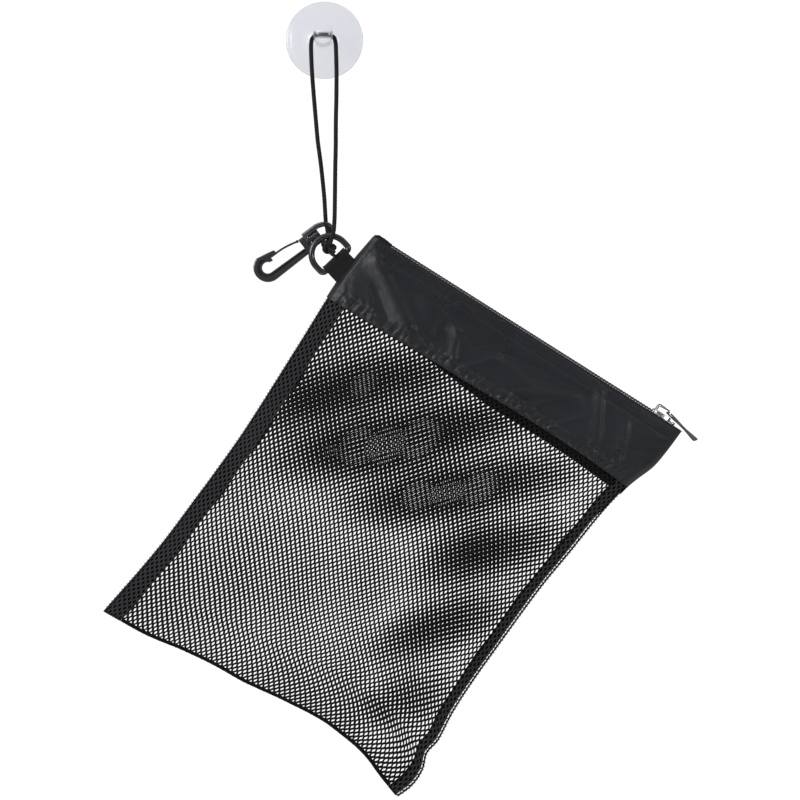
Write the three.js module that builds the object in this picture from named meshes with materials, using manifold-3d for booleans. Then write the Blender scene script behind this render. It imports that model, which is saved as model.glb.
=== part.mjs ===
// Mesh shower bag hung from a suction cup by a loop of cord, with a snap hook.
// Millimetres, +X to the right, +Y into the wall, +Z up.
// The origin is the centre of the cup's foot, on the face of the wall.

import * as THREE from 'three';
import { mergeVertices } from 'three/addons/utils/BufferGeometryUtils.js';
import Module from 'manifold-3d';

const wasm = await Module();
wasm.setup();

// Shared fits
const seatGap = 0.3;
const cutOverrun = 2;
const meshTolerance = 1e-4;

// Where the parts hang: the depth of the cord's plane in front of the wall
const hangDepth = 20;

// Suction cup
const cupRadius = 27.5;
const cupRimThickness = 1.0;
const cupSkirtHeight = 3.4;
const cupSkirtRadius = 15;
const cupNeckRadius = 5.6;
const cupNeckHeight = 8.5;
const cupPadRadius = 11;
const cupGrooveDepth = 0.8;
const cupGrooveInset = 2.6;
const knobRadius = 7.15;
const knobSideBelowHole = 6.2;
const knobSideAboveHole = 3.4;
const knobCrown = 4.4;
const cupRingSteps = 40;
const cupPadBevelShare = 0.3;
const cupGrooveBevelShare = 0.8;
const cupConeShare = 0.6;
const cupConeRiseShare = 0.4;
const cupNeckShare = 0.6;
const domeSteps = 6;
const holeSides = 20;

// Cord
const cordDiameter = 3;
const cordRadius = cordDiameter / 2;
const cordSides = 8;
const cordStep = 6.5;
const cordBend = 5;
const cordHalfSpan = 8.5;
const holeRadius = cordRadius + seatGap;

// Knot, round the thickest part of the cord's tie
const knotX = 3.8;
const knotDrop = 148.6;
const knotHalfWidth = 5.3;
const knotHalfDepth = 4.5;
const knotHalfHeight = 4.7;
const tailLength = 5.2;
const tailRadius = 1.4;
const tailSpread = 2.2;
const tailForward = 3.0;
const knotSides = 20;
const knotRings = 14;

// D-ring
const ringX = 4.58;
const ringDrop = 153.45;
const ringTilt = THREE.MathUtils.degToRad(46.6);
const ringBar = 4.4;
const ringArcRadius = 12.9;
const ringLeg = 6.4;
const ringCornerRadius = 2.6;
const ringBarSides = 10;
const ringArcSteps = 22;
const ringCornerSteps = 4;

// Webbing tab that joins the ring to the bag
const webWidth = 20.5;
const webWidthAtRing = 20;
const webThickness = 0.9;
const webNarrowing = 6;
const webLength = 17.4;
const webBendSteps = 10;

// Bag outline: the zip runs along its top
const bagCornerX = 34.77;
const bagCornerDrop = 140.6;
const bagTilt = THREE.MathUtils.degToRad(32.3);
const bagWidth = 255;
const bagHeight = 323;
const headerDepth = 53.5;
const backHeaderHang = 6.5;
const backHangStartShare = 0.28;
const backHangEndShare = 0.6;
const hemOverlap = 9;
const leftEdgeShares = [
  [0, 0.004], [0.065, -0.008], [0.13, -0.015], [0.28, -0.014], [0.5, -0.014], [0.6, -0.02], [0.7, -0.029],
  [0.8, -0.039], [0.88, -0.052], [0.94, -0.064], [1, -0.076],
];
const rightEdgeShares = [
  [0, 0.999], [0.06, 0.993], [0.1, 0.985], [0.14, 0.966], [0.17, 0.954], [0.24, 0.937], [0.35, 0.921],
  [0.45, 0.905], [0.6, 0.892], [0.7, 0.885], [0.78, 0.884], [0.85, 0.891], [0.885, 0.884], [0.92, 0.898],
  [0.96, 0.897], [1, 0.879],
];
const bottomEdgeShares = [
  [0, 1], [0.14, 0.994], [0.25, 0.98], [0.35, 0.971], [0.45, 0.967], [0.56, 0.956], [0.69, 0.947],
  [0.76, 0.95], [0.83, 0.957], [0.87, 0.965], [0.91, 0.977], [0.95, 0.988], [1, 1],
];

// Bag depth: half of it, from the middle plane to the net's outer face
const edgeHalfDepth = 2.2;
const zipHalfDepth = 2.9;
const bulge = 14.5;
const bulgeFallShare = 1.15;
const netRoundnessShare = 2.6;
const zipRoundnessShare = 24;

// Cloths
const netThickness = 0.9;
const headerThickness = 0.8;
const seamWidth = 10;
const leftSeamWidth = 14.5;
const bottomSeamWidth = 3;
const seamHalfDepth = edgeHalfDepth - netThickness - seatGap;
const seamTopWidth = 1.8;
const acrossSteps = 20;
const headerSteps = 5;
const netSteps = 20;
const seamSteps = 24;
const zipSteps = 10;

// Zip
const tapeThickness = 0.6;
const tapeDepth = 11;
const tapeEndInset = 3.4;
const tapeFlangeDrop = 0.1;
const coilHalfWidth = 2.0;
const coilHeight = 1.7;
const coilMiddleGap = 0.8;
const coilLift = seatGap - tapeFlangeDrop;
const zipStart = 8.5;
const zipEndInset = 8.8;
const zipEnd = bagWidth - zipEndInset;
const stopLength = 2.2;
const stopGap = 0.3;

// Slider and pull
const sliderLength = 14;
const sliderEndInset = 10.8;
const sliderPlace = bagWidth - sliderEndInset;
const sliderHalfWidth = 4.4;
const sliderPlate = 1.0;
const sliderLowerHalfWidth = 1.7;
const sliderLowerPlate = 1.0;
const sliderLowerDrop = tapeFlangeDrop + tapeThickness + seatGap;
const sliderBridgeHalf = coilMiddleGap - seatGap;
const crownLength = 11;
const crownHeight = 4.5;
const crownThickness = 1.4;
const crownWall = 0.9;
const crownShoulderShare = 0.4;
const pullLength = 27.8;
const pullThickness = 0.9;
const pullEndHalf = 3.8;
const pullEyeHalf = 2.5;
const pullEyePlay = 0.95;
const pullBarPlay = 0.9;
const pullWaistDip = 1.6;
const pullEyeLength = 4.1;
const pullSideSteps = 8;
const pullDroop = THREE.MathUtils.degToRad(13.8);
const pullRoll = THREE.MathUtils.degToRad(20);
const pullYaw = THREE.MathUtils.degToRad(-18);

// Snap hook, drawn along its own axis from the collar end of the spine
const hookX = -13.85;
const hookDrop = 145.78;
const hookDepth = 13.8;
const hookTilt = THREE.MathUtils.degToRad(-37.5);
const hookThickness = 4.4;
const hookBendAlong = -30.3;
const hookBendAcross = 2.3;
const hookBendOuter = 10.1;
const hookBendInner = 4.1;
const spineOuter = -7.4;
const spineInner = -2.7;
const neckStart = -1.5;
const neckEnd = 2.3;
const neckTop = 4.6;
const noseEnd = -19.3;
const noseTop = 9.4;
const noseUnder = 7.7;
const slotBack = -26.2;
const slotMiddle = 7.0;
const lipEnd = -24.4;
const lipTop = 5.8;
const lipUnder = 4.4;
const postRadius = 1.9;
const barrelStart = 5.1;
const barrelEnd = 13.2;
const barrelRadius = 3.1;
const barrelEndRadius = 2.4;
const barrelRibs = 4;
const barrelRibDepth = 0.5;
const hookRoundSteps = 14;
const hookTurnedSides = 16;
const hookRootShare = 1.5;

// Gate of the hook
const gatePivotAlong = -2.7;
const gatePivotAcross = 4.3;
const gateThickness = 1.4;
const gateWidth = 3.4;
const gateRootRadius = 0.85;
const gateTipAlong = -23.2;
const gateTipAcross = 6.9;
const gateBow = 0.9;
const gateSteps = 8;
const gateRootSteps = 12;

// Bail that swivels on the hook's post
const bailStart = 2.6;
const bailBase = 2.2;
const bailHalfWidth = 6.4;
const bailEnd = 23.8;
const bailWall = 2.0;
const bailStrap = 3.6;
const bailCollarRadius = 3.3;
const bailTurn = THREE.MathUtils.degToRad(25);
const bailArchStart = 14;
const bailSkew = 1.2;
const bailRoundSteps = 14;

// Helpers for numbers and curves

function lerp(a, b, share) {
  return a + (b - a) * share;
}

function smoothStep(low, high, value) {
  const share = Math.min(Math.max((value - low) / (high - low), 0), 1);
  return share * share * (3 - 2 * share);
}

// A smooth line through a table of [place, value] pairs
function shareAt(shares, place) {
  let i = 0;
  while (i < shares.length - 2 && place > shares[i + 1][0]) {
    i += 1;
  }
  const before = shares[Math.max(i - 1, 0)];
  const low = shares[i];
  const high = shares[i + 1];
  const after = shares[Math.min(i + 2, shares.length - 1)];
  const step = high[0] - low[0];
  const lowSlope = ((high[1] - before[1]) / (high[0] - before[0])) * step;
  const highSlope = ((after[1] - low[1]) / (after[0] - low[0])) * step;
  const x = Math.min(Math.max((place - low[0]) / step, 0), 1);
  const x2 = x * x;
  const x3 = x2 * x;
  const fromLow = (2 * x3 - 3 * x2 + 1) * low[1] + (x3 - 2 * x2 + x) * lowSlope;
  return fromLow + (3 * x2 - 2 * x3) * high[1] + (x3 - x2) * highSlope;
}

// Helpers for solids

function merged(geometry) {
  const bare = geometry.index ? geometry.toNonIndexed() : geometry.clone();
  for (const name of Object.keys(bare.attributes)) {
    if (name !== 'position') {
      bare.deleteAttribute(name);
    }
  }
  return mergeVertices(bare, meshTolerance);
}

function toSolid(geometry) {
  const bare = merged(geometry);
  return new wasm.Manifold(new wasm.Mesh({
    numProp: 3,
    vertProperties: Float32Array.from(bare.attributes.position.array),
    triVerts: Uint32Array.from(bare.index.array),
  }));
}

function toGeometry(solid) {
  const mesh = solid.getMesh();
  const geometry = new THREE.BufferGeometry();
  geometry.setAttribute('position', new THREE.BufferAttribute(Float32Array.from(mesh.vertProperties), 3));
  geometry.setIndex(new THREE.BufferAttribute(Uint32Array.from(mesh.triVerts), 1));
  return geometry;
}

function joined(geometries) {
  return toGeometry(geometries.map(toSolid).reduce((whole, next) => whole.add(next)));
}

function cut(body, tools) {
  return toGeometry(tools.map(toSolid).reduce((left, tool) => left.subtract(tool), toSolid(body)));
}

function signedVolume(points, faces) {
  let sum = 0;
  for (const [a, b, c] of faces) {
    sum += points[a].dot(points[b].clone().cross(points[c]));
  }
  return sum;
}

function fromFaces(points, faces) {
  const outward = signedVolume(points, faces) > 0;
  const geometry = new THREE.BufferGeometry().setFromPoints(points);
  geometry.setIndex(faces.flatMap(([a, b, c]) => (outward ? [a, b, c] : [a, c, b])));
  return geometry;
}

// A closed sheet between two grids of points, each a list of rows
function sheetSolid(front, back) {
  const rows = front.length;
  const columns = front[0].length;
  const points = [...front.flat(), ...back.flat()];
  const at = (side, i, j) => side * rows * columns + i * columns + j;
  const faces = [];
  const quad = (a, b, c, d) => faces.push([a, b, c], [a, c, d]);
  for (let i = 0; i < rows - 1; i += 1) {
    for (let j = 0; j < columns - 1; j += 1) {
      quad(at(0, i, j), at(0, i, j + 1), at(0, i + 1, j + 1), at(0, i + 1, j));
      quad(at(1, i, j), at(1, i + 1, j), at(1, i + 1, j + 1), at(1, i, j + 1));
    }
  }
  for (let i = 0; i < rows - 1; i += 1) {
    quad(at(0, i, 0), at(0, i + 1, 0), at(1, i + 1, 0), at(1, i, 0));
    quad(at(0, i + 1, columns - 1), at(0, i, columns - 1), at(1, i, columns - 1), at(1, i + 1, columns - 1));
  }
  for (let j = 0; j < columns - 1; j += 1) {
    quad(at(0, 0, j + 1), at(0, 0, j), at(1, 0, j), at(1, 0, j + 1));
    quad(at(0, rows - 1, j), at(0, rows - 1, j + 1), at(1, rows - 1, j + 1), at(1, rows - 1, j));
  }
  return fromFaces(points, faces);
}

function grid(rows, columns, place) {
  return Array.from({ length: rows + 1 }, (_, i) => (
    Array.from({ length: columns + 1 }, (__, j) => place(i / rows, j / columns))
  ));
}

// A flat outline, given as [across, up] pairs, carried through a depth along Y about the middle
function plate(outline, depth, holes = []) {
  const shape = new THREE.Shape(outline.map(([x, z]) => new THREE.Vector2(x, z)));
  const geometry = new THREE.ExtrudeGeometry(shape, { depth, bevelEnabled: false });
  geometry.translate(0, 0, -depth / 2);
  geometry.rotateX(Math.PI / 2);
  return holes.length ? cut(geometry, holes.map((hole) => plate(hole, depth + cutOverrun))) : geometry;
}

// Points of an arc, as [across, up] pairs, both ends included
function arc(x, z, radius, from, to, steps) {
  return Array.from({ length: steps + 1 }, (_, i) => {
    const angle = lerp(from, to, i / steps);
    return [x + radius * Math.cos(angle), z + radius * Math.sin(angle)];
  });
}

// A turned solid whose axis runs along X, from [along, radius] pairs that start and end on the axis
function turned(profile, steps) {
  const points = profile.map(([along, radius]) => new THREE.Vector2(radius, along));
  const geometry = new THREE.LatheGeometry(points, steps);
  geometry.rotateZ(-Math.PI / 2);
  return geometry;
}

function box(x0, x1, y0, y1, z0, z1) {
  const geometry = new THREE.BoxGeometry(x1 - x0, y1 - y0, z1 - z0);
  geometry.translate((x0 + x1) / 2, (y0 + y1) / 2, (z0 + z1) / 2);
  return geometry;
}

// A rod of even radius along a line of points, its ends closed unless the line is
function rod(path, radius, sides, closed = false) {
  const count = path.length;
  const last = closed ? count : count - 1;
  const at = (i, k) => (i % count) * sides + (k % sides);
  const near = (i) => (closed ? path[(i + count) % count] : path[Math.min(Math.max(i, 0), count - 1)]);
  let out = new THREE.Vector3(0, 1, 0);
  const rings = path.map((point, i) => {
    const along = near(i + 1).clone().sub(near(i - 1)).normalize();
    out = out.clone().addScaledVector(along, -out.dot(along)).normalize();
    const aside = along.clone().cross(out);
    return arc(0, 0, radius, Math.PI / sides, Math.PI / sides + 2 * Math.PI, sides).slice(0, -1).map(
      ([a, b]) => point.clone().addScaledVector(out, a).addScaledVector(aside, b),
    );
  });
  const faces = [];
  for (let i = 0; i < last; i += 1) {
    for (let k = 0; k < sides; k += 1) {
      faces.push([at(i, k), at(i + 1, k), at(i + 1, k + 1)], [at(i, k), at(i + 1, k + 1), at(i, k + 1)]);
    }
  }
  for (let k = 1; k < sides - 1 && !closed; k += 1) {
    faces.push([at(0, 0), at(0, k), at(0, k + 1)], [at(last, 0), at(last, k + 1), at(last, k)]);
  }
  return fromFaces(rings.flat(), faces);
}

// A smooth line through the points, no step of it longer than asked
function smoothPath(points, longestStep) {
  const curve = new THREE.CatmullRomCurve3(points, false, 'centripetal');
  const path = [points[0]];
  for (let i = 1; i < points.length; i += 1) {
    const steps = Math.ceil(points[i].distanceTo(points[i - 1]) / longestStep);
    for (let step = 1; step <= steps; step += 1) {
      path.push(curve.getPoint((i - 1 + step / steps) / (points.length - 1)));
    }
  }
  return path;
}

// Suction cup

function cupProfile() {
  const knobBottom = hangDepth - knobSideBelowHole;
  const knobTop = hangDepth + knobSideAboveHole;
  const grooveOuter = cupRadius - cupGrooveInset;
  const dome = Array.from({ length: domeSteps + 1 }, (_, i) => {
    const angle = (i / domeSteps) * (Math.PI / 2);
    return [knobRadius * Math.cos(angle), knobTop + knobCrown * Math.sin(angle)];
  });
  dome[dome.length - 1][0] = 0;
  return [
    [0, 0], [cupPadRadius, 0], [lerp(cupPadRadius, grooveOuter, cupPadBevelShare), cupGrooveDepth],
    [lerp(cupPadRadius, grooveOuter, cupGrooveBevelShare), cupGrooveDepth], [grooveOuter, 0], [cupRadius, 0],
    [cupRadius, cupRimThickness], [cupSkirtRadius, cupSkirtHeight],
    [
      lerp(cupSkirtRadius, cupNeckRadius, cupConeShare),
      lerp(cupSkirtHeight, cupNeckHeight, cupConeRiseShare),
    ],
    [cupNeckRadius, cupNeckHeight], [cupNeckRadius, lerp(cupNeckHeight, knobBottom, cupNeckShare)],
    [knobRadius, knobBottom], ...dome,
  ];
}

// The hole runs along X and opens like a trumpet, so that the cord may swing in it
function holeTool() {
  const reach = knobRadius + cutOverrun;
  const straight = cordHalfSpan - cordBend;
  const innerBend = cordBend - holeRadius;
  const flare = (run) => cordBend - Math.sqrt(innerBend * innerBend - run * run);
  const side = Array.from({ length: domeSteps + 1 }, (_, i) => (
    innerBend * Math.sin((i / domeSteps) * (Math.PI / 2))
  ));
  const mouth = [...side.map((run) => [straight + run, flare(run)]), [reach, cordBend]];
  const mirrored = mouth.map(([along, radius]) => [-along, radius]).reverse();
  return turned([[-reach, 0], ...mirrored, ...mouth, [reach, 0]], holeSides);
}

function suctionCup() {
  const body = new THREE.LatheGeometry(cupProfile().map(([r, h]) => new THREE.Vector2(r, h)), cupRingSteps);
  body.rotateX(Math.PI);
  const hole = holeTool();
  hole.translate(0, -hangDepth, 0);
  return cut(body, [hole]);
}

// Cord: the loop from the knot, up its left strand, through the cup's knob and down its right strand

// The two points of a cord's end that leaves the knot square to its skin, the nearer one first
function knotExit(x, y, z) {
  const way = new THREE.Vector3(x, y, z).normalize();
  const square = new THREE.Vector3(
    way.x / knotHalfWidth ** 2,
    way.y / knotHalfDepth ** 2,
    way.z / knotHalfHeight ** 2,
  ).normalize();
  const size = new THREE.Vector3(way.x / knotHalfWidth, way.y / knotHalfDepth, way.z / knotHalfHeight);
  const skin = new THREE.Vector3(knotX, -hangDepth, -knotDrop).addScaledVector(way, 1 / size.length());
  return [seatGap, seatGap + cordRadius].map((lift) => skin.clone().addScaledVector(square, lift));
}

// x, y, z of points that the cord passes, chosen by eye from where its strands hang
const leftExitWay = [-0.1, 0.62, 0.78];
const rightExitWay = [0.25, -0.75, 0.62];
const leftStrandPoints = [
  [3.8, -15.8, -141.2], [3.2, -15.7, -138.6], [2.7, -15.1, -136.5], [2.3, -12.7, -134.6],
  [2.0, -10.9, -133.1], [1.6, -10.8, -131.4], [1.2, -10.7, -128.4], [0.3, -11.4, -113.3],
  [-2.1, -12.8, -89.5], [-4.2, -14.1, -73.4], [-5.4, -15.4, -59.8], [-6.7, -17.0, -44.0],
  [-7.9, -18.6, -27.9], [-8.5, -19.7, -15.3],
];
const rightStrandPoints = [
  [8.9, -20.1, -13.5], [9.2, -20.5, -27.9], [9.1, -21.1, -44.0], [8.8, -21.8, -59.8],
  [8.7, -22.7, -79.7], [8.4, -23.3, -93.7], [8.2, -24.0, -113.3], [7.9, -24.4, -129.4], [7.2, -24.5, -138.0],
];

function bendPoints(side) {
  const angles = [1, 0.66, 0.33, 0].map((share) => (share * Math.PI) / 2);
  return angles.map((angle) => new THREE.Vector3(
    side * (cordHalfSpan - cordBend + cordBend * Math.sin(angle)),
    -hangDepth,
    cordBend * Math.cos(angle) - cordBend,
  ));
}

function hangCord() {
  const points = [
    ...knotExit(...leftExitWay),
    ...leftStrandPoints.map((p) => new THREE.Vector3(...p)),
    ...bendPoints(-1),
    ...bendPoints(1).reverse(),
    ...rightStrandPoints.map((p) => new THREE.Vector3(...p)),
    ...knotExit(...rightExitWay).reverse(),
  ];
  return rod(smoothPath(points, cordStep), cordRadius, cordSides);
}

function cordKnot() {
  const core = new THREE.SphereGeometry(1, knotSides, knotRings);
  core.scale(knotHalfWidth, knotHalfDepth, knotHalfHeight);
  core.translate(knotX, -hangDepth, -knotDrop);
  const tails = [0, 1].map((i) => {
    const drop = knotDrop + i * tailSpread;
    const start = new THREE.Vector3(knotX + tailSpread / 2, -hangDepth - tailForward, -drop);
    const end = start.clone().add(new THREE.Vector3(tailLength, -tailForward, -tailSpread / 2));
    return rod([start, end], tailRadius, cordSides);
  });
  return joined([core, ...tails]);
}

// D-ring: its round side towards the knot, its straight bar in the webbing, drawn about the arc's centre

function ringPath() {
  const reach = ringLeg - ringCornerRadius;
  const side = ringArcRadius - ringCornerRadius;
  return [
    ...arc(0, 0, ringArcRadius, Math.PI / 2, (3 * Math.PI) / 2, ringArcSteps),
    ...arc(reach, -side, ringCornerRadius, -Math.PI / 2, 0, ringCornerSteps),
    ...arc(reach, side, ringCornerRadius, 0, Math.PI / 2, ringCornerSteps),
  ];
}

function dRing() {
  return rod(ringPath().map(([x, z]) => new THREE.Vector3(x, 0, z)), ringBar / 2, ringBarSides, true);
}

// Webbing: a strap folded round the ring's bar, its two layers either side of the bag's seam

function webbingTab() {
  const inner = ringBar / 2 + seatGap;
  const outer = inner + webThickness;
  const layerInner = seamHalfDepth + seatGap;
  const layerOuter = layerInner + webThickness;
  const round = (radius) => arc(ringLeg, 0, radius, Math.PI / 2, (3 * Math.PI) / 2, webBendSteps);
  const narrow = ringLeg + webNarrowing;
  const end = ringLeg + webLength;
  const outline = [
    [end, layerInner], [end, layerOuter], [narrow, layerOuter], ...round(outer), [narrow, -layerOuter],
    [end, -layerOuter], [end, -layerInner], [narrow, -layerInner], ...round(inner).reverse(),
    [narrow, layerInner],
  ];
  const strap = plate(outline, webWidth);
  strap.rotateX(-Math.PI / 2);
  const places = strap.attributes.position;
  for (let i = 0; i < places.count; i += 1) {
    const share = smoothStep(ringLeg, end, places.getX(i));
    places.setZ(i, places.getZ(i) * lerp(webWidthAtRing / webWidth, 1, share));
  }
  return strap;
}

// Bag surfaces. across is the share from the left edge to the right one, down from the zip to the bottom seam

function bagBottom(across) {
  return bagHeight * shareAt(bottomEdgeShares, across);
}

function bagAcross(across, down) {
  const left = shareAt(leftEdgeShares, down);
  const right = shareAt(rightEdgeShares, down);
  return bagWidth * lerp(left, right, across);
}

function acrossAt(x, down) {
  const left = shareAt(leftEdgeShares, down);
  return (x / bagWidth - left) / (shareAt(rightEdgeShares, down) - left);
}

// Half of the bag's depth to the net's outer face: thin at the seams and the zip, fullest in the net
function halfDepth(across, down) {
  const headerShare = headerDepth / bagHeight;
  const stiff = 1 - smoothStep(0, 2 * headerShare, down);
  const roundness = lerp(netRoundnessShare, zipRoundnessShare, stiff * stiff);
  const plateau = 1 - Math.abs(2 * across - 1) ** roundness;
  const belly = bulge * Math.sin(Math.PI * down ** bulgeFallShare);
  return edgeHalfDepth + plateau * ((zipHalfDepth - edgeHalfDepth) * (1 - down) + belly);
}

// A point of the bag in its own frame: X along the zip, Z up, Y into the wall; side is -1 at the front
function bagPoint(across, down, side, inward) {
  return new THREE.Vector3(
    bagAcross(across, down),
    side * (halfDepth(across, down) - inward),
    -down * bagBottom(across),
  );
}

function bagCloth(side, outer, thickness, from, toAt, steps) {
  const layer = (inward) => grid(acrossSteps, steps, (across, step) => (
    bagPoint(across, lerp(from, toAt(across), step), side, inward)
  ));
  return sheetSolid(layer(outer), layer(outer + thickness));
}

// The header at the back hangs lower than the one at the front on its right half
function header(side) {
  const lift = headerThickness + seatGap;
  const hang = side < 0 ? 0 : backHeaderHang;
  const hemAt = (across) => (
    (headerDepth + hang * smoothStep(backHangStartShare, backHangEndShare, across)) / bagHeight
  );
  return bagCloth(side, -lift, headerThickness, 0, hemAt, headerSteps);
}

function net(side) {
  return bagCloth(side, 0, netThickness, (headerDepth - hemOverlap) / bagHeight, () => 1, netSteps);
}

// Side seams: the folded edges of the net, stitched together inside the bag
function sideSeam(edge) {
  const layer = (side) => grid(seamSteps, 2, (down, inShare) => {
    const drop = down * bagHeight;
    const fullWidth = edge < 0.5 ? leftSeamWidth : seamWidth;
    const width = lerp(seamTopWidth, fullWidth, smoothStep(tapeDepth, tapeDepth + seamWidth / 2, drop));
    const across = edge < 0.5 ? (width * inShare) / bagWidth : 1 - (width * inShare) / bagWidth;
    const point = bagPoint(across, down, side, 0);
    point.y = side * seamHalfDepth;
    return point;
  });
  return sheetSolid(layer(-1), layer(1));
}

function bottomSeam() {
  const bottomWidth = bagAcross(1, 1) - bagAcross(0, 1);
  const leftInset = (leftSeamWidth + 2 * seatGap) / bottomWidth;
  const rightInset = (seamWidth + 2 * seatGap) / bottomWidth;
  const layer = (side) => grid(seamSteps, 2, (along, upShare) => {
    const across = lerp(leftInset, 1 - rightInset, along);
    const point = bagPoint(across, 1 - (upShare * bottomSeamWidth) / bagHeight, side, 0);
    point.y = side * seamHalfDepth;
    return point;
  });
  return sheetSolid(layer(-1), layer(1));
}

// Zip, drawn in the bag's frame

function zipTape(side) {
  const layer = (inward) => grid(acrossSteps * 2, zipSteps, (along, step) => {
    const x = lerp(tapeEndInset, bagWidth - tapeEndInset, along);
    const corner = 2 / zipSteps;
    const top = halfDepth(acrossAt(x, 0), 0) - inward;
    const flangeZ = -tapeFlangeDrop - inward + seatGap;
    if (step <= corner) {
      return new THREE.Vector3(x, side * lerp(coilMiddleGap, top, step / corner), flangeZ);
    }
    const drop = lerp(-flangeZ, tapeDepth, (step - corner) / (1 - corner));
    const down = drop / bagHeight;
    return new THREE.Vector3(x, side * (halfDepth(acrossAt(x, down), down) - inward), -drop);
  });
  return sheetSolid(layer(seatGap), layer(seatGap + tapeThickness));
}

function zipCoil(side) {
  const near = side * coilMiddleGap;
  const far = side * (coilMiddleGap + coilHalfWidth);
  return box(zipStart, zipEnd, Math.min(near, far), Math.max(near, far), coilLift, coilLift + coilHeight);
}

function topStop(side) {
  const near = side * coilMiddleGap;
  const far = side * (coilMiddleGap + coilHalfWidth);
  const start = zipEnd + stopGap;
  const end = start + stopLength;
  return box(start, end, Math.min(near, far), Math.max(near, far), coilLift, coilLift + coilHeight);
}

function bottomStop() {
  const half = coilMiddleGap + coilHalfWidth;
  const end = zipStart - stopGap;
  return box(end - stopLength, end, -half, half, coilLift, coilLift + coilHeight);
}

// Slider: plates above and below the chain, joined by a bridge, drawn about its right end at the zip's top

const sliderUnder = coilLift + coilHeight + seatGap;
const sliderTop = sliderUnder + sliderPlate;
const crownBarX = -sliderLength / 2 + crownLength / 2 - crownWall - pullThickness / 2 - pullBarPlay;
const crownBarZ = sliderTop + crownHeight - crownWall - pullThickness / 2 - pullBarPlay / 2;

function sliderBody() {
  const flangeInner = coilMiddleGap + coilHalfWidth + seatGap;
  const section = [
    [-sliderHalfWidth, sliderTop], [-sliderHalfWidth, seatGap],
    [-flangeInner, seatGap], [-flangeInner, sliderUnder],
    [-sliderBridgeHalf, sliderUnder], [-sliderBridgeHalf, -sliderLowerDrop],
    [-sliderLowerHalfWidth, -sliderLowerDrop], [-sliderLowerHalfWidth, -sliderLowerDrop - sliderLowerPlate],
    [sliderLowerHalfWidth, -sliderLowerDrop - sliderLowerPlate], [sliderLowerHalfWidth, -sliderLowerDrop],
    [sliderBridgeHalf, -sliderLowerDrop], [sliderBridgeHalf, sliderUnder], [flangeInner, sliderUnder],
    [flangeInner, seatGap], [sliderHalfWidth, seatGap], [sliderHalfWidth, sliderTop],
  ];
  const body = plate(section, sliderLength);
  body.rotateZ(Math.PI / 2);
  body.translate(-sliderLength / 2, 0, 0);
  return body;
}

function sliderCrown() {
  const left = -sliderLength / 2 - crownLength / 2;
  const right = -sliderLength / 2 + crownLength / 2;
  const top = sliderTop + crownHeight;
  const shoulder = crownHeight * crownShoulderShare;
  const outline = [
    [left, sliderTop - sliderPlate / 2], [right, sliderTop - sliderPlate / 2], [right, top - shoulder],
    [right - shoulder, top], [left + shoulder, top], [left, top - shoulder],
  ];
  const ceiling = top - crownWall;
  const corner = seatGap * 2;
  const hole = [
    [left + crownWall, sliderTop], [left + crownWall, ceiling - corner], [left + crownWall + corner, ceiling],
    [right - crownWall - corner, ceiling], [right - crownWall, ceiling - corner],
    [right - crownWall, sliderTop],
  ];
  return plate(outline, crownThickness, [hole]);
}

function zipSlider() {
  return joined([sliderBody(), sliderCrown()]);
}

// Pull: a waisted tab with an eye, drawn along +X from the middle of its eye's bar
function zipPull() {
  const half = pullThickness / 2;
  const waist = (share) => pullWaistDip * Math.sin(Math.PI * share) ** 2;
  const halfAt = (share) => lerp(pullEyeHalf, pullEndHalf, share) - waist(share);
  const waistStart = half + pullEyeLength + 2 * half;
  const side = Array.from({ length: pullSideSteps + 1 }, (_, i) => {
    const share = i / pullSideSteps;
    return [lerp(waistStart, pullLength - 2 * half, share), halfAt(share)];
  });
  const upper = [[-half, pullEyeHalf], ...side, [pullLength, pullEndHalf - 2 * half]];
  const outline = [...upper, ...upper.map(([x, y]) => [x, -y]).reverse()];
  const eyeHalf = crownThickness / 2 + pullEyePlay;
  const hole = [
    [half, eyeHalf], [half + pullEyeLength, eyeHalf], [half + pullEyeLength, -eyeHalf], [half, -eyeHalf],
  ];
  const tab = plate(outline, pullThickness, [hole]);
  tab.rotateX(Math.PI / 2);
  return tab;
}

// Snap hook, drawn with X along its axis and Z across it

function hookOutline() {
  const { PI } = Math;
  const rootUnder = gatePivotAcross - gateThickness * hookRootShare;
  return [
    [neckEnd, spineOuter],
    ...arc(hookBendAlong, hookBendAcross, hookBendOuter, -PI / 2, -PI * 1.45, hookRoundSteps),
    [noseEnd, noseTop], [noseEnd, noseUnder], [slotBack + gateThickness, noseUnder + gateThickness / 2],
    [slotBack, slotMiddle], [lipEnd, lipTop], [lipEnd, lipUnder],
    ...arc(hookBendAlong, hookBendAcross, hookBendInner, PI * 0.25, PI * 1.5, hookRoundSteps),
    [neckStart, spineInner], [neckStart, rootUnder], [neckStart - gateThickness / 2, rootUnder],
    [neckStart, neckTop - gateThickness],
    [neckStart, neckTop], [neckEnd, neckTop],
  ];
}

function hookBarrel() {
  const pitch = (barrelEnd - barrelStart) / (2 * barrelRibs + 1);
  const ribs = Array.from({ length: 2 * barrelRibs + 1 }, (_, i) => {
    const from = barrelStart + i * pitch;
    const taper = (i / (2 * barrelRibs)) ** 2;
    const radius = lerp(barrelRadius, barrelEndRadius, taper) - (i % 2) * barrelRibDepth;
    return [[from, radius], [from + pitch, radius]];
  });
  const root = neckEnd - cutOverrun;
  const profile = [
    [root, 0], [root, postRadius], [barrelStart, postRadius], ...ribs.flat(), [barrelEnd, 0],
  ];
  return turned(profile, hookTurnedSides);
}

function hookBody() {
  return joined([plate(hookOutline(), hookThickness), hookBarrel()]);
}

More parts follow.
